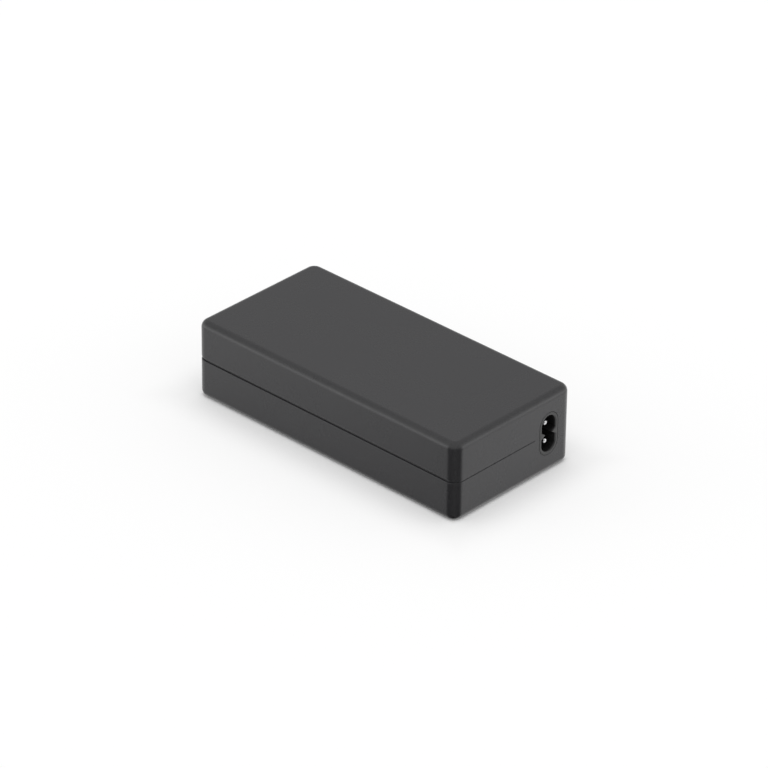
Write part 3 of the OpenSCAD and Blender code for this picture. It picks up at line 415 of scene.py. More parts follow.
def satin_plastic(name, colour, worn, dot_size, dot_height, edge_radius, shade_from_x=None):
    """Moulded plastic with grain, handled patches and slightly polished, lighter edges.

    Where a shade x is given, what lies further in than that x is rougher, and its colour darkens
    there as painted shade of the deep recess.
    """
    material, tree, shader = new_material(name)
    at = object_place(tree)
    grain = place(tree, moulded_grain, {"Place": at, "Dot Size": dot_size, "Swell Size": CASE_SWELL})
    touch = place(tree, handling, {"Place": at, "Patch Size": CASE_PATCH})
    edge = place(tree, edge_mask, {
        "Place": at, "Middle": CASE_MIDDLE, "Half Size": CASE_HALF, "Radius": edge_radius,
    })["Edge"]
    lighter = maths(tree, "MAXIMUM", maths(tree, "MULTIPLY", edge, EDGE_LIGHTER), touch["Dust"])
    base = blended(tree, lighter, colour, worn)
    rough = scaled(tree, touch["Polish"], HANDLED_ROUGHNESS, CASE_ROUGHNESS)
    rough = scaled(tree, edge, EDGE_ROUGHNESS, rough)
    rough = scaled(tree, grain["Dots"], DOT_ROUGHNESS, rough)
    # Painted shade: deeper into the socket the colour darkens, as shade in a deep recess; the added
    # roughness is the unpolished core.
    if shade_from_x is not None:
        inside = eased(tree, axes_of(tree, at)["X"], shade_from_x, shade_from_x + SHADE_FADE, 1.0, 0.0)
        base = blended(tree, inside, base, tinted(colour, PAINTED_SHADE_TINT))
        rough = scaled(tree, inside, CORE_ROUGHNESS, rough)
    fill(tree, shader, {
        "Base Color": base, "Roughness": rough, "Normal": bump(tree, grain["Height"], dot_height),
    })
    return material


case_plastic = satin_plastic(
    "case_plastic", colour=(0.0258, 0.0253, 0.0274), worn=(0.045, 0.045, 0.046),
    dot_size=0.28 * MM, dot_height=0.004 * MM, edge_radius=3.2 * MM,
)
inlet_plastic = satin_plastic(
    "inlet_plastic", colour=(0.0235, 0.0235, 0.0240), worn=(0.040, 0.040, 0.041),
    dot_size=0.35 * MM, dot_height=0.002 * MM, edge_radius=0.5 * MM, shade_from_x=cad_high.x - SHADE_DEPTH,
)
print("case roughness:", CASE_ROUGHNESS)

# %% [markdown]
# ## Surfaces from two parameters
#
# Every new piece is a stack of closed rings. A ring has the same number of points at every level, so
# the stack is a grid of two parameters: how far round, and which ring. Joining each ring to the next
# with four-sided faces gives the skin, and one flat face closes each open end. That covers a case
# half, a socket, a pin and a foot with a single mesh builder.
#
# A shape from rings could come out inside out, so the builder measures its signed volume, which is
# negative then, and turns the faces round.

# %% Mesh builder
SHARP_ANGLE = np.radians(32)


def ring_faces(rings, points, closed_loop):
    """Four-sided faces between neighbouring rings, as rows of point numbers."""
    level = np.arange(rings if closed_loop else rings - 1)[:, None]
    step = np.arange(points)[None, :]
    after = (step + 1) % points
    below, above = level * points, (level + 1) % rings * points
    corners = [below + step, below + after, above + after, above + step]
    return np.stack(corners, axis=-1).reshape(-1, 4)


def signed_volume(spots, faces):
    """Volume inside a closed skin: a third of the sum of each face's area times its distance."""
    a, b, c, d = (spots[faces[:, k]] for k in range(4))
    cross = np.cross(b - a, c - a) + np.cross(c - a, d - a)
    return float(np.einsum("ij,ij->", a, cross)) / 6


def mesh_from(name, spots, faces):
    """A mesh from an array of points and a list of faces."""
    mesh = bpy.data.meshes.new(name)
    mesh.from_pydata(spots.tolist(), [], faces)
    mesh.update()
    return mesh


def ring_mesh(name, stack, closed_loop=False):
    """A mesh from a stack of rings, shaped (rings, points, 3), in metres.

    A stack with closed_loop joins its last ring to its first, as on a washer. Otherwise one flat face
    closes each end. Those two faces are left out of the volume, so it is measured from the middle of
    the first ring, and the other end's share is added from its own points.
    """
    rings, points, _ = stack.shape
    spots = stack.reshape(-1, 3)
    faces = ring_faces(rings, points, closed_loop)
    volume = signed_volume(spots - stack[0].mean(axis=0), faces)
    face_list = faces.tolist()
    if not closed_loop:
        far = stack[-1] - stack[0].mean(axis=0)
        fan = np.cross(far, np.roll(far, -1, axis=0)) @ far.mean(axis=0)
        volume += float(fan.sum()) / 6
        face_list.append(list(range(points))[::-1])
        face_list.append(list(range((rings - 1) * points, rings * points)))
    if volume < 0:
        face_list = [face[::-1] for face in face_list]
    return mesh_from(name, spots, face_list)


def linked(name, data):
    """An object for a mesh, linked to the scene."""
    made = bpy.data.objects.new(name, data)
    bpy.context.scene.collection.objects.link(made)
    return made


def new_piece(name, mesh, material, slot, *replaced):
    """A piece of the object: its mesh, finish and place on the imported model's one body."""
    piece = linked(name, mesh)
    mesh.materials.clear()
    mesh.materials.append(material)
    mesh.shade_smooth()
    mesh.set_sharp_from_angle(angle=SHARP_ANGLE)
    smoother = piece.modifiers.new("flat faces keep flat shading", "WEIGHTED_NORMAL")
    smoother.keep_sharp = True
    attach(piece, "root")
    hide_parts(*replaced)
    print(name, "faces:", len(mesh.polygons))


# %% [markdown]
# ## Cutting and joining
#
# Some features cross a ring stack, such as the inlet's hole in the end wall, or the posts that clamp
# the board. Working them into the rings would spoil the grid. A Boolean modifier cuts or joins them
# after, and its result is taken into the mesh at once, so that no helper object stays in the scene.

# %% Boolean helper


def combined(base, tool, operation):
    """The mesh of base with tool's mesh cut out of it (DIFFERENCE) or joined to it (UNION)."""
    holders = [linked(mesh.name + "_holder", mesh) for mesh in (base, tool)]
    modifier = holders[0].modifiers.new("combine", "BOOLEAN")
    modifier.operation = operation
    modifier.object = holders[1]
    modifier.solver = "EXACT"
    shaped = holders[0].evaluated_get(bpy.context.evaluated_depsgraph_get())
    result = bpy.data.meshes.new_from_object(shaped)
    for holder in holders:
        bpy.data.objects.remove(holder)
    for mesh in (base, tool):
        bpy.data.meshes.remove(mesh)
    return result


def joined(name, meshes):
    """Several separate skins in one mesh, with no cutting between them."""
    spots, faces, start = [], [], 0
    for mesh in meshes:
        flat = np.empty(len(mesh.vertices) * 3)
        mesh.vertices.foreach_get("co", flat)
        spots.append(flat.reshape(-1, 3))
        faces += [[start + number for number in face.vertices] for face in mesh.polygons]
        start += len(mesh.vertices)
        bpy.data.meshes.remove(mesh)
    return mesh_from(name, np.vstack(spots), faces)


# %% [markdown]
# ## Round shapes
#
# Pins, feet, posts and the gland are turned shapes: a profile of distance along an axis and radius,
# carried round that axis. A soft edge is a quarter of a circle or of an ellipse in the profile, which
# says at each edge how large it is. A Bevel modifier would round them afterwards instead.

# %% Turned surfaces
TURN_STEPS = 96
ROUND_POINTS = 7
UP = (0, 0, 1)
ALONG = (1, 0, 0)


def rounded(corner, size, points=ROUND_POINTS):
    """A corner rounded off, as rows from corner + (0, size y) to corner + (size x, 0).

    The rows follow a quarter ellipse: corner + size * (1 - cos a, 1 - sin a), a from 0 to 90 degrees.
    """
    turn = np.radians(np.linspace(0, 90, points))
    return np.array(corner) + np.array(size) * np.column_stack([1 - np.cos(turn), 1 - np.sin(turn)])


def rod_profile(start, end, radius, start_soft=0.0, end_soft=0.0):
    """Profile of a rod from start to end, with a rounded edge at either end where one is asked for."""
    first, last = [[start, radius]], [[end, radius]]
    if start_soft:
        first = rounded((start, radius), (start_soft, -start_soft))
    if end_soft:
        last = rounded((end, radius), (-end_soft, -end_soft))[::-1]
    return np.vstack([first, last])


def turned(name, profile, centre, axis, steps=TURN_STEPS, closed_loop=False):
    """A profile of (along, radius) rows carried round an axis through a centre.

    Each point is centre + along * axis + radius * (cos(a) * side + sin(a) * other), where side and
    other are square to the axis, and a runs once round.
    """
    axis = np.asarray(axis, float)
    side = np.roll(np.abs(axis), 1)
    other = np.cross(axis, side)
    angle = np.linspace(0.0, 2 * np.pi, steps, endpoint=False)[None, :, None]
    rows = np.asarray(profile, float)[:, None, :]
    rim = np.cos(angle) * side + np.sin(angle) * other
    stack = np.asarray(centre, float) + rows[..., :1] * axis + rows[..., 1:] * rim
    return ring_mesh(name, stack, closed_loop)


# %% [markdown]
# ## The two halves of the case
#
# In plan the case is a rectangle with round corners. Its upper edge is rounded, its wall is upright,
# and at half height a shadow line runs round it: each half stops short of the other in a lip shaped
# like a quarter ellipse, taller on the upper half. Behind the lips the lower half steps up until it
# nearly meets the upper one, and its welded tongue closes the gap. The line is finer on the inlet's
# end, and it fades out before it reaches the inlet and the gland, where both halves meet flush.
#
# One ring at an inset `i` from the outline has points `core + (corner_radius - i) * outward`. Core is
# a path inside the outline, and outward is the outline's direction there, so the same two arrays give
# every ring of both halves. The profile lists the inset and height of each ring, and what the local
# width of the shadow line adds to both. A bevelled box would be quicker, but it has no such line.

# %% Case sizes
bottom_low, bottom_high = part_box("bottom_shell")
top_low, top_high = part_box("top_shell")
CASE_LENGTH = top_high.x - top_low.x
CASE_WIDTH = top_high.y - top_low.y
CASE_TOP = top_high.z
CASE_BOTTOM = bottom_low.z
FACE_X = CASE_LENGTH / 2
WALL = 2.4 * MM
INSIDE_X = FACE_X - WALL
CORNER_RADIUS = 4.8 * MM
TOP_EDGE_RADIUS = 3.2 * MM
BOTTOM_EDGE_RADIUS = 2.5 * MM
INNER_EDGE_RADIUS = 1.0 * MM
FLAT_RIM = 0.4 * MM

SEAM_Z = (CASE_TOP + CASE_BOTTOM) / 2
SEAM_HALF_GAP = 0.32 * MM
SEAM_DEPTH = 0.66 * MM
SEAM_CLOSING = 0.30 * MM
TOP_SEAM_LIP = 1.00 * MM
BOTTOM_SEAM_LIP = 0.40 * MM
SEAM_END_SHARE = 0.38
SEAM_LEAST_SHARE = 0.02
SEAM_STOP = 2.6 * MM
SEAM_FADE = 0.8 * MM
TONGUE_TOP = bottom_high.z
TONGUE_GAP = 0.1 * MM

FLANGE_SIDE = 2.0 * MM
FLANGE_THICKNESS = 2.0 * MM
OPENING_GAP = 0.14 * MM
inlet_low, inlet_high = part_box("inlet_housing")
INLET_Y = (inlet_low.y + inlet_high.y) / 2
INLET_RADIUS = (inlet_high.y - inlet_low.y) / 2 - FLANGE_SIDE
PIN_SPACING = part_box("inlet_pin_upper")[0].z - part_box("inlet_pin_lower")[0].z
GLAND_RADIUS = 4.7 * MM
print("case, mm:", round(CASE_LENGTH / MM, 2), round(CASE_WIDTH / MM, 2), "seam at", round(SEAM_Z / MM, 2))

# %% Outline of the case
SIDE_STEP = 1.0 * MM
ARC_STEPS = 24


def case_outline():
    """Core points and outward directions round the case, each shaped (points, 2).

    Each of the four sides is a straight run followed by a quarter circle. On a run, outward stays the
    side's own direction and core moves along; on a quarter circle, core stays and outward turns.
    """
    half = np.array([CASE_LENGTH, CASE_WIDTH]) / 2 - CORNER_RADIUS
    cores, outwards = [], []
    for turn in np.radians([0, 90, 180, 270]):
        out = np.round([np.cos(turn), np.sin(turn)])
        run = np.round([-np.sin(turn), np.cos(turn)])
        span = np.abs(run) @ half
        side = out * (np.abs(out) @ half)
        along = np.linspace(-span, span, int(np.ceil(2 * span / SIDE_STEP)) + 1)[:, None]
        arc = turn + np.linspace(0, np.pi / 2, ARC_STEPS + 1)[1:-1]
        cores += [side + along * run, np.tile(side + span * run, (len(arc), 1))]
        outwards += [np.tile(out, (len(along), 1)), np.column_stack([np.cos(arc), np.sin(arc)])]
    return np.vstack(cores), np.vstack(outwards)


core, outward = case_outline()
rim_x, rim_y = (core + CORNER_RADIUS * outward).T


def smooth_step(value, low, high):
    """0 below low, 1 above high, and an S curve 3t^2 - 2t^3 between."""
    t = np.clip((value - low) / (high - low), 0.0, 1.0)
    return t * t * (3 - 2 * t)


def seam_share():
    """How open the shadow line is at each point of the outline, from nearly 0 to 1.

    It is finer across the inlet end, all but shut from just before the inlet to the far corner of
    that end and for the width of the gland at the other end, and opens over a short fade.
    """
    corner_x = FACE_X - CORNER_RADIUS
    inlet_edge = INLET_Y - INLET_RADIUS - OPENING_GAP - SEAM_STOP
    gland_edge = GLAND_RADIUS + OPENING_GAP + SEAM_STOP
    before_inlet = smooth_step(inlet_edge - rim_y, 0.0, SEAM_FADE)
    past_corner = smooth_step(corner_x - rim_x, 0.0, SEAM_STOP)
    beside_gland = smooth_step(np.abs(rim_y) - gland_edge, 0.0, SEAM_FADE)
    by_inlet = (rim_x > corner_x - SEAM_STOP) & (rim_y > inlet_edge - SEAM_FADE)
    share = np.where(rim_x < -corner_x, beside_gland, 1.0)
    share = np.where(by_inlet, np.maximum(before_inlet, past_corner), share)
    finer = 1 - (1 - SEAM_END_SHARE) * smooth_step(rim_x, corner_x, FACE_X)
    return np.maximum(share * finer, SEAM_LEAST_SHARE)


seam_open = seam_share()
print("outline points:", len(rim_x), "with the line shut at", int((seam_open == SEAM_LEAST_SHARE).sum()))

# %% Case half builder
EDGE_POINTS, LIP_POINTS, INNER_EDGE_POINTS = 15, 9, 5


def case_rings(profile):
    """Rings from profile rows (inset, height, lip inset, gap height).

    A point is core + (corner radius - inset) * outward in plan, where the inset grows by the lip
    inset times the local width of the shadow line, and the height by the gap height times that width.
    """
    inset, height, lip, gap = np.asarray(profile, float).T[..., None]
    width = seam_open[None, :]
    reach = (CORNER_RADIUS - inset - lip * width)[..., None]
    plan = core[None] + reach * outward[None]
    return np.dstack([plan, height + gap * width])


def shell_profile(sign, outer_z, edge_radius, lip_height, groove):
    """Profile of one half, from the middle of its outside to the middle of its inside.

    The outside starts flat, turns down over the edge radius, runs down the wall and ends at the shadow
    line in a lip, a quarter ellipse as high as the lip and as deep as the line. The groove rows lead
    from the lip to the inside, and the wall's inner face leads back to the floor or ceiling. sign is 1
    for the upper half and -1 for the lower.
    """
    edge = rounded((0, outer_z), (edge_radius, -sign * edge_radius), EDGE_POINTS)[::-1]
    lip = rounded((0, sign * SEAM_HALF_GAP), (SEAM_DEPTH, sign * lip_height), LIP_POINTS)
    inner_size = (INNER_EDGE_RADIUS, -sign * INNER_EDGE_RADIUS)
    inside = rounded((WALL, outer_z - sign * WALL), inner_size, INNER_EDGE_POINTS)
    return np.vstack([
        [edge_radius + FLAT_RIM, outer_z, 0, 0],
        np.pad(edge, ((0, 0), (0, 2))),
        np.pad(lip, ((0, 0), (2, 0))) + [0, SEAM_Z, 0, 0],
        groove,
        np.pad(inside, ((0, 0), (0, 2))),
    ])


# The upper half's rebate takes the tongue; the lower half's tongue stands in it.
tongue_inset = WALL / 2 + TONGUE_GAP
top_mesh = ring_mesh("case_top", case_rings(shell_profile(1, CASE_TOP, TOP_EDGE_RADIUS, TOP_SEAM_LIP, [
    [WALL / 2, SEAM_Z, 0, SEAM_HALF_GAP],
    [WALL / 2, TONGUE_TOP, 0, 0],
    [WALL, TONGUE_TOP, 0, 0],
])))
bottom_mesh = ring_mesh("case_bottom", case_rings(
    shell_profile(-1, CASE_BOTTOM, BOTTOM_EDGE_RADIUS, BOTTOM_SEAM_LIP, [
        [0, SEAM_Z, SEAM_DEPTH, SEAM_CLOSING],
        [tongue_inset, SEAM_Z, 0, SEAM_CLOSING],
        [tongue_inset, TONGUE_TOP - TONGUE_GAP, 0, 0],
        [WALL, TONGUE_TOP - TONGUE_GAP, 0, 0],
    ])
))
print("case halves, points:", len(top_mesh.vertices), len(bottom_mesh.vertices))

# %% [markdown]
# ## Posts and ribs of the case
#
# Four posts in each half clamp the circuit board between them, and the lower ones carry pegs that pass
# through the board. A rib behind the inlet and one behind the gland hold them in the end walls. Each is
# a solid of its own that starts inside the wall, and a union makes it one with the case, as in a mould.

# %% Posts and ribs
POST_RADIUS = 2.5 * MM
PEG_RADIUS = 1.3 * MM
PEG_BELOW = 0.2 * MM
POST_INSET = 4.0 * MM
POST_STEPS = 48
RIB_THICKNESS = 1.6 * MM
NOTCH_GAP = 1.2 * MM
SOFT_EDGE, FAINT_EDGE = 0.3 * MM, 0.1 * MM
INNER_TOP, INNER_BOTTOM = CASE_TOP - WALL / 2, CASE_BOTTOM + WALL / 2
board_low, board_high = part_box("circuit_board")
post_places = [
    (board_low.x + POST_INSET, board_low.y + POST_INSET),
    (board_low.x + POST_INSET, board_high.y - POST_INSET),
    (board_high.x - POST_INSET, board_low.y + POST_INSET),
    (inlet_low.x - NOTCH_GAP - POST_INSET, board_high.y - POST_INSET),
]


def block(name, low, high):
    """A plain box as two rings of four points, its lower and its upper face."""
    corners = np.array([[low[0], low[1]], [high[0], low[1]], [high[0], high[1]], [low[0], high[1]]])
    stack = np.stack([np.column_stack([corners, np.full(4, z)]) for z in (low[2], high[2])])
    return ring_mesh(name, stack)


def case_inside(name, post_profile, low_z, high_z):
    """One half's four posts, the inlet's rib, which runs on into the long wall, and the gland's rib."""
    inlet_x = INSIDE_X - FLANGE_THICKNESS - RIB_THICKNESS
    gland_x = -INSIDE_X + FLANGE_THICKNESS
    gland_y = GLAND_RADIUS + FLANGE_SIDE
    inlet_end = (inlet_x + RIB_THICKNESS, (CASE_WIDTH - WALL) / 2, high_z)
    return joined(name, [
        *(turned("post", post_profile, (x, y, 0), UP, POST_STEPS) for x, y in post_places),
        block("inlet_rib", (inlet_x, inlet_low.y, low_z), inlet_end),
        block("gland_rib", (gland_x, -gland_y, low_z), (gland_x + RIB_THICKNESS, gland_y, high_z)),
    ])


upper_post = rod_profile(board_high.z, INNER_TOP, POST_RADIUS, start_soft=SOFT_EDGE)
lower_post = np.vstack([
    rod_profile(INNER_BOTTOM, board_low.z, POST_RADIUS, end_soft=FAINT_EDGE),
    rod_profile(board_low.z, board_high.z - PEG_BELOW, PEG_RADIUS, end_soft=SOFT_EDGE),
])
top_inside = case_inside("top_inside", upper_post, TONGUE_TOP, INNER_TOP)
bottom_inside = case_inside("bottom_inside", lower_post, INNER_BOTTOM, SEAM_Z)
top_mesh = combined(top_mesh, top_inside, "UNION")
bottom_mesh = combined(bottom_mesh, bottom_inside, "UNION")
print("posts in each half:", len(post_places))

# %% [markdown]
# ## The inlet's two outlines
#
# Seen from the end, the inlet's body is a stadium: two half circles and straight sides. Its socket is
# a smaller stadium with a pointed nose on each side of its waist. Both are star-shaped about their
# middle, so each is written as a distance that depends on the direction. Giving both the same number
# of directions makes every outline a ring of the same stack, from the back of the body to the floor of
# the socket. Cutting the socket out with a Boolean would leave its mouth without a rounded edge.

# %% Inlet outlines
SOCKET_RADIUS = 4.0 * MM
SOCKET_WAIST = 3.6 * MM
NOSE_HEIGHT = 3.0 * MM
HALF_SPACING = PIN_SPACING / 2
NOSE_STEPS = 8
LOBE_STEPS = 64
TINY = 1e-9


def stadium_reach(angle, radius):
    """Distance from the middle to a stadium, in a direction.

    Where the straight side is met first it is radius / |cos a|. Elsewhere it is the far crossing of
    the upper or lower circle, c|sin a| + sqrt(r^2 - c^2 cos^2 a), with c the half spacing.
    """
    cosine, sine = np.abs(np.cos(angle)), np.abs(np.sin(angle))
    straight = radius / np.maximum(cosine, TINY)
    root = np.sqrt(np.maximum(radius**2 - (HALF_SPACING * cosine)**2, 0))
    circle = HALF_SPACING * sine + root
    return np.where(straight * sine <= HALF_SPACING, straight, circle)


def nose_angle(grow):
    """Direction in which a nose of the socket grown by a distance leaves the straight side."""
    return np.arctan2(NOSE_HEIGHT / 2, SOCKET_RADIUS + grow)


def socket_reach(angle, grow):
    """Distance from the middle to the socket's outline, grown outward by a distance.

    Outside the noses it is a stadium. A nose's flank is the straight line from its tip (t, 0) to the
    side (r, h), which a direction meets at t h / (h cos a - (r - t) sin a).
    """
    cosine, sine = np.abs(np.cos(angle)), np.abs(np.sin(angle))
    tip, side, half = SOCKET_WAIST / 2 + grow, SOCKET_RADIUS + grow, NOSE_HEIGHT / 2
    on_nose = np.arctan2(sine, cosine) <= nose_angle(grow) + TINY
    across = np.where(on_nose, half * cosine - (side - tip) * sine, 1.0)
    return np.where(on_nose, tip * half / across, stadium_reach(angle, side))


def directions(grow):
    """Directions round the middle: a few across each nose, many round each lobe."""
    nose = nose_angle(grow)
    across = np.linspace(-nose, nose, 2 * NOSE_STEPS + 1)[:-1]
    round_lobe = np.linspace(nose, np.pi - nose, LOBE_STEPS + 1)[:-1]
    return np.concatenate([across, round_lobe, np.pi + across, np.pi + round_lobe])


def inlet_ring(x, angle, reach):
    """One ring in the plane of a given x, from directions and distances."""
    return np.column_stack([
        np.full(len(angle), x), INLET_Y + reach * np.cos(angle), SEAM_Z + reach * np.sin(angle),
    ])


print("noses leave the sides at, degrees:", round(float(np.degrees(nose_angle(0.0))), 1))

# %% Inlet body
SOCKET_DEPTH = 11.0 * MM
SOCKET_FLOOR_X = FACE_X - SOCKET_DEPTH
FLANGE_X = INSIDE_X - FLANGE_THICKNESS
OUTER_LIP = 0.12 * MM
INNER_LIP = 0.65 * MM
PIN_HOLE_RADIUS = 1.55 * MM
pin_places = [(INLET_Y, SEAM_Z - HALF_SPACING), (INLET_Y, SEAM_Z + HALF_SPACING)]


def stadium_rings(rows):
    """Stadium rings from (x, radius) rows, with the directions of the socket's mouth."""
    angle = directions(INNER_LIP)
    return [inlet_ring(x, angle, stadium_reach(angle, radius)) for x, radius in rows]


def socket_rings(rows):
    """Socket rings from (x, growth) rows; the directions follow the noses as the outline grows."""
    return [
        inlet_ring(x, directions(grow), socket_reach(directions(grow), grow)) for x, grow in rows
    ]


# The outside runs from the back to the rim of the face, the socket from there over its lip to its floor.
outside = stadium_rings(np.vstack([
    [inlet_low.x, INLET_RADIUS - SOFT_EDGE],
    [inlet_low.x + SOFT_EDGE, INLET_RADIUS],
    [FLANGE_X, INLET_RADIUS],
    [FLANGE_X, INLET_RADIUS + FLANGE_SIDE - SOFT_EDGE],
    [FLANGE_X + SOFT_EDGE, INLET_RADIUS + FLANGE_SIDE],
    [INSIDE_X, INLET_RADIUS + FLANGE_SIDE],
    [INSIDE_X, INLET_RADIUS],
    rounded((FACE_X, INLET_RADIUS), (-OUTER_LIP, -OUTER_LIP))[::-1],
]))
socket = socket_rings(np.vstack([
    rounded((FACE_X, 0), (-INNER_LIP, INNER_LIP), LIP_POINTS),
    [SOCKET_FLOOR_X, 0.0],
]))
hole_profile = rod_profile(inlet_low.x - MM, SOCKET_FLOOR_X + MM, PIN_HOLE_RADIUS)
pin_holes = joined("pin_holes", [
    turned("hole", hole_profile, (0, y, z), ALONG, POST_STEPS) for y, z in pin_places
])
inlet_mesh = combined(ring_mesh("inlet_body", np.stack(outside + socket)), pin_holes, "DIFFERENCE")
new_piece("inlet_body", inlet_mesh, inlet_plastic, "inlet_plastic", "inlet_housing")

# %% [markdown]
# ## Openings in the case
#
# The inlet, the gland and the feet sit in openings that the mould leaves in both halves. They are cut
# last, through the wall and the rib behind it, with cutters that follow each part's own outline at a
# small gap and flare at the face. The flare gives the opening the soft edge that a plain cut lacks.

# %% Openings in the case
WALL_LIP = 0.12 * MM
FLARE_POINTS = 6
RIB_REACH = 8 * MM
GLAND_TAIL_RADIUS = 4.0 * MM
FOOT_RADIUS = 4.5 * MM
FOOT_GAP = 0.2 * MM
foot_low, foot_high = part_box("rubber_feet")
foot_x, foot_y = foot_high.x - FOOT_RADIUS, foot_high.y - FOOT_RADIUS
foot_places = [(x, y) for x in (-foot_x, foot_x) for y in (-foot_y, foot_y)]


def flared(face, radius, outward):
    """Rows of an opening's mouth: a rounded flare up to the face, and on past it. outward is 1 or -1."""
    lip = rounded((face, radius), (-outward * WALL_LIP, WALL_LIP), FLARE_POINTS)[::-1]
    return np.vstack([lip, [face + outward * MM, radius + WALL_LIP]])


def end_openings():
    """Cutters for the inlet's hole, a stadium, and for the gland's, which narrows behind its flange."""
    inlet_radius, gland_radius = INLET_RADIUS + OPENING_GAP, GLAND_RADIUS + OPENING_GAP
    middle, narrow = INSIDE_X - FLANGE_THICKNESS / 2, GLAND_TAIL_RADIUS + OPENING_GAP
    inlet_rows = np.vstack([[inlet_low.x, inlet_radius], flared(FACE_X, inlet_radius, 1)])
    gland_rows = np.vstack([
        [INSIDE_X - RIB_REACH, narrow], [middle, narrow], [middle, gland_radius],
        flared(FACE_X, gland_radius, 1),
    ])
    return [
        ring_mesh("inlet_opening", np.stack(stadium_rings(inlet_rows))),
        turned("gland_opening", gland_rows, (0, 0, SEAM_Z), (-1, 0, 0)),
    ]


foot_rows = np.vstack([
    [foot_high.z, FOOT_RADIUS + FOOT_GAP], flared(CASE_BOTTOM, FOOT_RADIUS + FOOT_GAP, -1),
])
foot_openings = [turned("foot_opening", foot_rows, (x, y, 0), UP) for x, y in foot_places]
top_cutters = joined("top_openings", end_openings())
bottom_cutters = joined("bottom_openings", end_openings() + foot_openings)
top_mesh = combined(top_mesh, top_cutters, "DIFFERENCE")
bottom_mesh = combined(bottom_mesh, bottom_cutters, "DIFFERENCE")
new_piece("case_top", top_mesh, case_plastic, "case_plastic", "top_shell")
new_piece("case_bottom", bottom_mesh, case_plastic, "case_plastic", "bottom_shell")

# %% [markdown]
# ## Pins, gland and feet
#
# The pins are turned brass with bright nickel plate: a soft end, a working length, a shank in the
# inlet's back wall, a collar that seats behind it, and a solder tail. The gland is soft rubber with a
# rolled mouth. The feet are discs of foam rubber with a slightly rounded rim. All are turned from a
# profile, which takes each step and rounding as it is drawn for the lathe or the mould.

# %% Metals and rubbers
TARNISH_SHARE, TARNISH_TINT, TARNISH_PATCH = 0.4, 0.8, 4 * MM
MARK_ROUGHNESS, MARK_DEPTH = 0.12, 0.002 * MM
RUBBER_DOT, RUBBER_SWELL, RUBBER_PATCH = 0.4 * MM, 3 * MM, 8 * MM
RUBBER_DUST, PIT_ROUGHNESS, PIT_DEPTH = 0.6, 0.1, 0.01 * MM


def bright_metal(name, colour, roughness, stretch):
    """Plated metal with fine turning marks and faint cloudy tarnish."""
    material, tree, shader = new_material(name)
    at = object_place(tree)
    marks = place(tree, fine_lines, {"Place": at, "Stretch": stretch})["Lines"]
    touch = place(tree, handling, {"Place": at, "Patch Size": TARNISH_PATCH})
    tarnish = maths(tree, "MULTIPLY", touch["Polish"], TARNISH_SHARE)
    fill(tree, shader, {
        "Base Color": blended(tree, tarnish, colour, tinted(colour, TARNISH_TINT)),
        "Metallic": 1.0,
        "Roughness": scaled(tree, marks, MARK_ROUGHNESS, roughness),
        "Normal": bump(tree, marks, MARK_DEPTH),
    })
    return material


def rubber(name, colour, dusty, roughness):
    """Soft rubber: matte, with fine pits and a little pale dust in patches."""
    material, tree, shader = new_material(name)
    at = object_place(tree)
    grain = place(tree, moulded_grain, {"Place": at, "Dot Size": RUBBER_DOT, "Swell Size": RUBBER_SWELL})
    touch = place(tree, handling, {"Place": at, "Patch Size": RUBBER_PATCH})
    fill(tree, shader, {
        "Base Color": blended(tree, maths(tree, "MULTIPLY", touch["Polish"], RUBBER_DUST), colour, dusty),
        "Roughness": scaled(tree, grain["Dots"], PIT_ROUGHNESS, roughness),
        "Normal": bump(tree, grain["Height"], PIT_DEPTH),
    })
    return material


pin_metal = bright_metal("pin_metal", (0.66, 0.66, 0.67), 0.10, (300.0, 6000.0, 6000.0))
gland_rubber = rubber("gland_rubber", (0.015, 0.015, 0.016), (0.028, 0.028, 0.028), 0.62)
foot_rubber = rubber("foot_rubber", (0.020, 0.020, 0.020), (0.040, 0.039, 0.037), 0.70)

# %% Inlet pins
PIN_RADIUS = 1.2 * MM
PIN_TIP_SOFT = 0.90 * MM
SHANK_RADIUS = 1.5 * MM
COLLAR_RADIUS = 2.1 * MM
COLLAR_THICKNESS = 0.8 * MM
COLLAR_X = inlet_low.x - COLLAR_THICKNESS
TAIL_RADIUS = 1.0 * MM
TAIL_SOFT = 0.15 * MM
pin_low, pin_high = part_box("inlet_pin_upper")

# Tail, collar, shank and working length follow each other along X.
pin_profile = np.vstack([
    rod_profile(pin_low.x, COLLAR_X, TAIL_RADIUS, start_soft=TAIL_SOFT),
    rod_profile(COLLAR_X, inlet_low.x, COLLAR_RADIUS, start_soft=FAINT_EDGE),
    rod_profile(inlet_low.x, SOCKET_FLOOR_X, SHANK_RADIUS, end_soft=FAINT_EDGE),
    rod_profile(SOCKET_FLOOR_X, pin_high.x, PIN_RADIUS, end_soft=PIN_TIP_SOFT),
])
for side, (y, z) in zip(("lower", "upper"), pin_places):
    pin = turned(f"pin_{side}", pin_profile, (0, y, z), ALONG)
    new_piece(f"pin_{side}", pin, pin_metal, "pin_metal", f"inlet_pin_{side}")

# %% Gland and feet
BORE_RADIUS = 2.25 * MM
MOUTH_LIP = 0.6 * MM
FOOT_SOFT = 0.4 * MM
gland_low, gland_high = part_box("output_gland")
flange_back = -INSIDE_X + FLANGE_THICKNESS
flange_radius = GLAND_RADIUS + FLANGE_SIDE

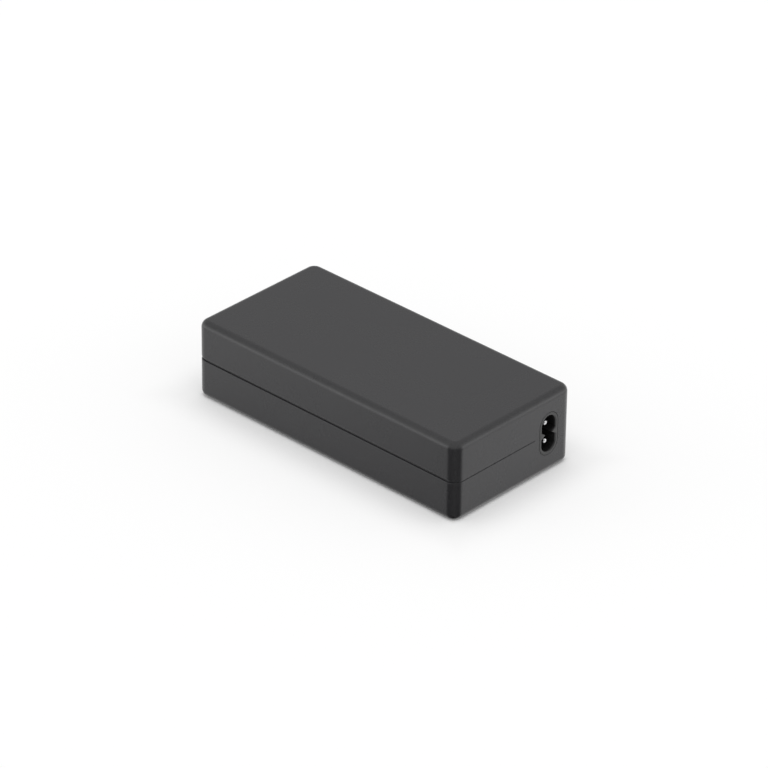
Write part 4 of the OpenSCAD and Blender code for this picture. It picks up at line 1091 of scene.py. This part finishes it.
# A washer's profile: from the mouth, over the flange to the tail, and back through the bore.
gland_profile = np.vstack([
    rounded((gland_low.x, GLAND_RADIUS), (SOFT_EDGE, -SOFT_EDGE)),
    [-INSIDE_X, GLAND_RADIUS], [-INSIDE_X, flange_radius - SOFT_EDGE],
    [-INSIDE_X + SOFT_EDGE, flange_radius], [flange_back - SOFT_EDGE, flange_radius],
    [flange_back, flange_radius - SOFT_EDGE], [flange_back, GLAND_TAIL_RADIUS],
    [gland_high.x - SOFT_EDGE, GLAND_TAIL_RADIUS], [gland_high.x, GLAND_TAIL_RADIUS - SOFT_EDGE],
    [gland_high.x, BORE_RADIUS],
    rounded((gland_low.x, BORE_RADIUS), (MOUTH_LIP, MOUTH_LIP))[::-1],
])
gland = turned("gland", gland_profile, (0, 0, SEAM_Z), ALONG, closed_loop=True)
new_piece("gland", gland, gland_rubber, "gland_rubber", "output_gland")

foot_profile = rod_profile(foot_low.z, foot_high.z, FOOT_RADIUS, FOOT_SOFT, FAINT_EDGE)
feet = joined("feet", [turned("foot", foot_profile, (x, y, 0), UP) for x, y in foot_places])
new_piece("feet", feet, foot_rubber, "foot_rubber", "rubber_feet")

# %% [markdown]
# ## The parts inside
#
# Nothing inside shows while the case is shut, but an opened adapter should look right too. One recipe
# serves all these parts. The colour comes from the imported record, a pattern tints it, roughens it and
# gives it relief, and bare metal takes over wherever a point lies outside the part's body, as on leads,
# caps and can ends. Cutting each part into a body and its leads would give the same look, but the
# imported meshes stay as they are.
#
# The patterns are what each maker leaves behind: the grain of a mould, the lines of rolled sheet, the
# runs of a dipped coat, the grains of pressed ferrite, the weave of glass cloth, the turns of a coil.

# %% Patterns
MOULD_DOT, MOULD_SWELL = 0.25 * MM, 2 * MM
ROLLING_STRETCH = (60.0, 5000.0, 5000.0)
TURNING_STRETCH = (700.0, 700.0, 9000.0)
RUN_SCALE, PEEL_SCALE, PEEL_SHARE = 350.0, 1800.0, 0.3
POWDER_SCALE, POWDER_SHARE, PIT_SCALE = 900.0, 0.6, 3500.0
WEAVE_PITCH, WEAVE_SHARE = 0.6 * MM, 0.2
FIBRE_SCALE, FIBRE_SHARE = 4000.0, 0.4
FIELD_SCALE, FIELD_UNEVENNESS = 130.0, 0.8
GAP_FROM, GAP_TO, FIELD_HEIGHT = 0.06, 0.10, 0.8
TURN_PITCH = 0.55 * MM
UNSTEADY_SCALE, UNSTEADY_ANGLE = 250.0, 3.0
RING_TURNS = 90
ring_low, ring_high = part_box("filter_choke_core")
RING_MIDDLE = tuple((ring_low + ring_high) / 2)


def wave(tree, phase):
    """0.5 + 0.5 sin(phase)."""
    return scaled(tree, maths(tree, "SINE", phase), 0.5, 0.5)


def moulded(tree, at):
    """Mould grain with a slow swell."""
    inputs = {"Place": at, "Dot Size": MOULD_DOT, "Swell Size": MOULD_SWELL}
    return place(tree, moulded_grain, inputs)["Height"]


def rolled(tree, at):
    """Rolling lines along X."""
    return place(tree, fine_lines, {"Place": at, "Stretch": ROLLING_STRETCH})["Lines"]


def turned_marks(tree, at):
    """Marks round an upright axis, on pins, terminals and screws."""
    return place(tree, fine_lines, {"Place": at, "Stretch": TURNING_STRETCH})["Lines"]


def dipped(tree, at):
    """Slow runs of a dipped coat, with orange peel on them."""
    return scaled(tree, noise(tree, at, PEEL_SCALE), PEEL_SHARE, noise(tree, at, RUN_SCALE))


def pressed(tree, at):
    """Grains of pressed powder, and the dark pits between them."""
    grains = noise(tree, at, POWDER_SCALE, FINE_DETAIL)
    return scaled(tree, grains, POWDER_SHARE, cells(tree, at, PIT_SCALE))


def woven(tree, at):
    """Glass cloth: the product of a wave along X and one along Y, with noise for the fibres."""
    axes = axes_of(tree, at)
    rate = 2 * np.pi / WEAVE_PITCH
    along, across = (wave(tree, maths(tree, "MULTIPLY", axes[name], rate)) for name in ("X", "Y"))
    weave = maths(tree, "MULTIPLY", along, across)
    return scaled(tree, noise(tree, at, FIBRE_SCALE), FIBRE_SHARE, weave)


def board_face(tree, at):
    """Poured copper under solder mask: wide fields with thin gaps between them, over the weave."""
    edges = cells(
        tree, at, FIELD_SCALE, {"Randomness": FIELD_UNEVENNESS},
        feature="DISTANCE_TO_EDGE", distance="MANHATTAN",
    )
    fields = eased(tree, edges, GAP_FROM, GAP_TO, 0.0, FIELD_HEIGHT)
    return scaled(tree, woven(tree, at), WEAVE_SHARE, fields)


def stacked_turns(tree, at):
    """Turns of wire stacked along Z: a wave in height, a little unsteady."""
    height = maths(tree, "MULTIPLY", axes_of(tree, at)["Z"], 2 * np.pi / TURN_PITCH)
    return wave(tree, scaled(tree, noise(tree, at, UNSTEADY_SCALE), UNSTEADY_ANGLE, height))


def ring_turns(tree, at):
    """Turns of wire round a ring: a wave in the angle about the ring's own axis."""
    axes = axes_of(tree, vector_maths(tree, "SUBTRACT", at, RING_MIDDLE))
    angle = maths(tree, "ARCTAN2", axes["Z"], axes["Y"])
    return wave(tree, maths(tree, "MULTIPLY", angle, RING_TURNS))


print("turns shown on a core 10 mm high:", round(10 * MM / TURN_PITCH))

# %% Inner finishes
BARE_METAL = (0.62, 0.62, 0.63)
BARE_ROUGHNESS = 0.24
# Slot: pattern, tint, roughness, how far the pattern roughens it, relief in millimetres, metallic.
INNER_FINISHES = {
    "tinned_metal": (turned_marks, 0.75, 0.20, 0.12, 0.004, 1.0),
    "brown_wire": (dipped, 1.3, 0.38, 0.10, 0.010, 0.0),
    "blue_wire": (dipped, 1.3, 0.38, 0.10, 0.010, 0.0),
    "board_laminate": (board_face, 2.0, 0.32, -0.10, 0.030, 0.0),
    "sheet_aluminium": (rolled, 0.80, 0.28, 0.14, 0.004, 1.0),
    "insulating_film": (rolled, 0.90, 0.30, 0.12, 0.003, 0.0),
    "fuse_body": (moulded, 0.92, 0.26, 0.06, 0.004, 0.0),
    "film_capacitor": (moulded, 0.88, 0.34, 0.08, 0.006, 0.0),
    "varistor_coat": (dipped, 0.70, 0.20, 0.10, 0.060, 0.0),
    "thermistor_coat": (dipped, 0.70, 0.22, 0.10, 0.060, 0.0),
    "disc_blue": (dipped, 0.70, 0.20, 0.10, 0.060, 0.0),
    "ring_core": (pressed, 0.75, 0.42, 0.12, 0.012, 0.0),
    "copper_wire": (stacked_turns, 1.25, 0.34, -0.10, 0.120, 1.0),
    "triple_wire": (stacked_turns, 1.15, 0.36, -0.10, 0.120, 0.0),
    "bobbin_plastic": (moulded, 1.60, 0.40, 0.10, 0.006, 0.0),
    "ferrite": (pressed, 1.80, 0.46, 0.14, 0.015, 0.0),
    "package_epoxy": (moulded, 1.50, 0.44, 0.10, 0.005, 0.0),
    "bulk_sleeve": (dipped, 1.40, 0.24, 0.08, 0.012, 0.0),
    "capacitor_sleeve": (dipped, 1.40, 0.24, 0.08, 0.012, 0.0),
    "thermal_pad": (pressed, 0.88, 0.62, 0.10, 0.020, 0.0),
    "insulator_pad": (woven, 0.80, 0.50, 0.10, 0.015, 0.0),
    "white_package": (moulded, 0.94, 0.38, 0.10, 0.005, 0.0),
}
RING_WINDINGS = ("filter_choke_winding_left", "filter_choke_winding_right")
# Millimetres from the low and the high sides of a part's box to its body. Between lies bare metal.
LEADS, DISC_LEADS, BRIDGE_LEADS = 3.2, 3.5, 6.2
CHIP_TRIM = ((0, 0, 10.4), (0, 1.3, 6.4))
STANDING = {
    LEADS: ("inlet_wire_upper", "inlet_wire_lower", "line_capacitor", "filter_choke_base",
            "boost_choke_bobbin", "output_choke_core"),
    DISC_LEADS: ("surge_varistor", "inrush_thermistor", "safety_capacitor"),
    BRIDGE_LEADS: ("bridge_rectifier",),
}
BODY_TRIM = {node: ((0, 0, leads), (0, 0, 0)) for leads, group in STANDING.items() for node in group}
BODY_TRIM |= {
    "fuse": ((4.4, 0, LEADS), (4.4, 0, 0)),
    "bulk_capacitor": ((0.3, 0, DISC_LEADS), (2.4, 0, 0)),
    "output_capacitors": ((0, 0, LEADS), (0, 0, 0.3)),
    "optocoupler": ((0.95, 0, LEADS), (0.95, 0, 0)),
    "controller_chip": ((1.0, 0, 0.1), (1.0, 0, 0)),
    "switch_transistors": CHIP_TRIM,
    "output_rectifiers": CHIP_TRIM,
}


def bare_metal_mask(tree, at, node):
    """1 on a part's leads, caps and can ends: outside its box once that is trimmed to the body."""
    trim_low, trim_high = BODY_TRIM[node]
    box_low, box_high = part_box(node)
    low = np.array(box_low) + np.array(trim_low) * MM
    high = np.array(box_high) - np.array(trim_high) * MM
    return place(tree, beyond_box, {
        "Place": at, "Middle": tuple((low + high) / 2), "Half Size": tuple((high - low) / 2),
    })["Beyond"]


def inner_material(node, slot, colour):
    """The recipe: colour tinted by the slot's pattern, with its roughness and relief, and bare metal."""
    pattern, tint, roughness, roughening, relief, metallic = INNER_FINISHES[slot]
    if node in RING_WINDINGS:
        pattern = ring_turns
    material, tree, shader = new_material(node + "_finish")
    at = object_place(tree)
    marks = pattern(tree, at)
    base = blended(tree, marks, colour, tinted(colour, tint))
    rough = scaled(tree, marks, roughening, roughness)
    if node in BODY_TRIM:
        metallic = bare_metal_mask(tree, at, node)
        base = blended(tree, metallic, base, BARE_METAL)
        rough = scaled(tree, metallic, maths(tree, "SUBTRACT", BARE_ROUGHNESS, rough), rough)
    fill(tree, shader, {
        "Base Color": base, "Roughness": rough, "Metallic": metallic,
        "Normal": bump(tree, marks, relief * MM),
    })
    return material


slot_colour = {row["slot"]: tuple(row["base_color"]) for row in frame["record"]["materials"]}
inner_parts = [row for row in frame["record"]["subparts"] if row["material_slot"] in INNER_FINISHES]
for row in inner_parts:
    finish = inner_material(row["node"], row["material_slot"], slot_colour[row["material_slot"]])
    for holder in nodes[row["node"]].material_slots:
        holder.material = finish
print("inner parts finished:", len(inner_parts))

# %% [markdown]
# ## The studio
#
# The light is a plain soft tent, written as one formula of direction: an even level all round, a soft
# panel on each side that grows as a power of the dot product with the side axis, and a panel overhead
# that grows as a power of height. The panel on the side of the inlet's end is weaker, and mirrors
# hardly see the one overhead, so the rounded edges keep a calm highlight. The tent is open and nearly
# dark towards the camera, and that is what the rounded front corner shows. A lamp for each panel would
# need shapes and sizes; the formula needs a few levels and powers, and it has no edges that could show
# in the satin plastic.

# %% Studio world
BASE_LEVEL = 0.64
SIDE_LEVEL, SIDE_POWER = 1.95, 12.0
END_PANEL_SHARE, PANEL_CHANGE = 0.72, 0.1
OVERHEAD_LEVEL, OVERHEAD_POWER = 2.65, 16.0
OVERHEAD_MIRRORED = 0.10
CAMERA_AXIS = (*(back_axis[:2] / np.linalg.norm(back_axis[:2])), 0.0)
SIDE_AXIS = (-CAMERA_AXIS[1], CAMERA_AXIS[0], 0.0)
OPENING_FROM, OPENING_TO = 0.15, 0.50
OPENING_LOW, OPENING_HIGH = 0.05, 0.35
OPENING_DARK = 0.05
WHITE = (1.0, 1.0, 1.0, 1.0)

world = bpy.data.worlds.new("studio")
bpy.context.scene.world = world
tree = empty_tree(world)
rays = add_node(tree, "LightPath").outputs
toward = add_node(tree, "TexCoord").outputs["Generated"]
height = axes_of(tree, toward)["Z"]
sideways = dot(tree, toward, SIDE_AXIS)
side_shape = maths(tree, "POWER", maths(tree, "ABSOLUTE", sideways), SIDE_POWER)
end_level = SIDE_LEVEL * END_PANEL_SHARE
side_level = eased(tree, sideways, -PANEL_CHANGE, PANEL_CHANGE, SIDE_LEVEL, end_level)
level = scaled(tree, side_shape, side_level, BASE_LEVEL)
overhead_shape = maths(tree, "POWER", maths(tree, "MAXIMUM", height, 0.0), OVERHEAD_POWER)
mirror_change = OVERHEAD_LEVEL * (OVERHEAD_MIRRORED - 1)
overhead_level = scaled(tree, rays["Is Glossy Ray"], mirror_change, OVERHEAD_LEVEL)
level = scaled(tree, overhead_shape, overhead_level, level)
ahead = eased(tree, dot(tree, toward, CAMERA_AXIS), OPENING_FROM, OPENING_TO, 0.0, 1.0 - OPENING_DARK)
opening = maths(tree, "MULTIPLY", ahead, eased(tree, height, OPENING_LOW, OPENING_HIGH, 1.0, 0.0))
level = maths(tree, "MULTIPLY", level, maths(tree, "SUBTRACT", 1.0, opening))
shown = scaled(tree, rays["Is Camera Ray"], maths(tree, "SUBTRACT", 1.0, level), level)
background = add_node(tree, "Background", {"Color": WHITE, "Strength": shown})
add_node(tree, "OutputWorld", {"Surface": background.outputs[0]})
print("side axis:", [round(float(part), 3) for part in SIDE_AXIS])

# %% [markdown]
# ## The floor
#
# The floor is white paper. Part of its white is a glow that only the camera and mirrors see, so it
# reads as white and still keeps the soft shadow of the case. For the camera the glow grows with the
# distance from the case, and it stops where the case covers the paper, a little further in for mirrors,
# so the paper near the case carries painted shadow on top of its real one. In the plastic's reflection
# the paper grows brighter away from the front corner, faster along the long side than along the end,
# and it is dark in front of the corner that faces the tent's opening: a painted reflection that only
# mirrors see. The light that the paper throws on the object isn't changed by any of this. A plain white
# plane would need a stronger light to read as white, and that light would brighten the dark plastic as
# well.

# %% Floor
FLOOR_HALF = 1.5
FLOOR_DROP = 0.01 * MM
PAPER_WHITE = 0.98
GLOW_LEVEL = 1.05
NEAR_GLOW, FAR_GLOW, MIRROR_GLOW = 0.25, 0.52, 0.70
FAR_FROM, FAR_TO = 4.0 * MM, 22.0 * MM
LONG_SIDE_LEVEL, LONG_SIDE_RISE = 0.54, 3.0
END_LEVEL, END_RISE = 0.95, 1.6
MOST_LEVEL = 1.35
SIDE_FADE = 0.01
COVER_FROM, COVER_TO = -2.8 * MM, 1.4 * MM
MIRROR_REACH = 1.0 * MM
CORNER_SHARE = 0.6
front_corner = np.array([CASE_LENGTH / 2 - CORNER_RADIUS, CORNER_RADIUS - CASE_WIDTH / 2, 0.0])
front_corner += CORNER_SHARE * CORNER_RADIUS * np.array(CAMERA_AXIS)

corners = np.array([[-1, -1], [1, -1], [1, 1], [-1, 1]]) * FLOOR_HALF
floor_mesh = mesh_from("floor", np.column_stack([corners, np.full(4, -FLOOR_DROP)]), [[0, 1, 2, 3]])
floor = linked("floor", floor_mesh)
paper = bpy.data.materials.new("floor_paper")
tree = empty_tree(paper)
rays = add_node(tree, "LightPath").outputs
mirrored = rays["Is Glossy Ray"]
spot = object_place(tree)

# Painted reflection: how bright the paper looks in a mirror, rising away from the front corner, and dark
# before it.
from_corner = vector_maths(tree, "SUBTRACT", spot, tuple(front_corner))
sideways = dot(tree, from_corner, SIDE_AXIS)
away = maths(tree, "ABSOLUTE", sideways)
long_side = scaled(tree, away, LONG_SIDE_RISE, LONG_SIDE_LEVEL)
end_side = scaled(tree, away, END_RISE, END_LEVEL)
on_end = eased(tree, sideways, -SIDE_FADE, SIDE_FADE, 0.0, 1.0)
rising = scaled(tree, on_end, maths(tree, "SUBTRACT", end_side, long_side), long_side)
rising = maths(tree, "MINIMUM", rising, MOST_LEVEL)
facing = dot(tree, vector_maths(tree, "NORMALIZE", from_corner), CAMERA_AXIS)
ahead = eased(tree, facing, OPENING_FROM, OPENING_TO, 1.0, OPENING_DARK)
reflected = maths(tree, "MULTIPLY", rising, ahead)
share = scaled(tree, mirrored, maths(tree, "SUBTRACT", reflected, 1.0), 1.0)

# Painted shadow: how much of the paper's white is glow, none under the case and more with the distance
# from it, so the paper darkens towards the case.
past = past_box(tree, spot, (0.0, 0.0, 0.0), (CASE_LENGTH / 2, CASE_WIDTH / 2, 0.0))
clear = scaled(tree, mirrored, MIRROR_REACH, maths(tree, "MAXIMUM", past["X"], past["Y"]))
seen_glow = eased(tree, clear, FAR_FROM, FAR_TO, NEAR_GLOW, FAR_GLOW)
to_camera = maths(tree, "MAXIMUM", rays["Is Camera Ray"], rays["Is Transmission Ray"])
glow_share = scaled(tree, to_camera, seen_glow, maths(tree, "MULTIPLY", mirrored, MIRROR_GLOW))
glow_share = maths(tree, "MULTIPLY", glow_share, eased(tree, clear, COVER_FROM, COVER_TO, 0.0, 1.0))

white = maths(tree, "MULTIPLY", share, PAPER_WHITE)
colour = add_node(tree, "CombineColor", dict.fromkeys(("Red", "Green", "Blue"), white)).outputs["Color"]
glow_level = maths(tree, "MULTIPLY", share, GLOW_LEVEL)
mixed = add_node(tree, "MixShader", {
    "Fac": glow_share,
    1: add_node(tree, "BsdfDiffuse", {"Color": colour}).outputs[0],
    2: add_node(tree, "Emission", {"Color": WHITE, "Strength": glow_level}).outputs[0],
})
add_node(tree, "OutputMaterial", {"Surface": mixed.outputs[0]})
floor_mesh.materials.append(paper)
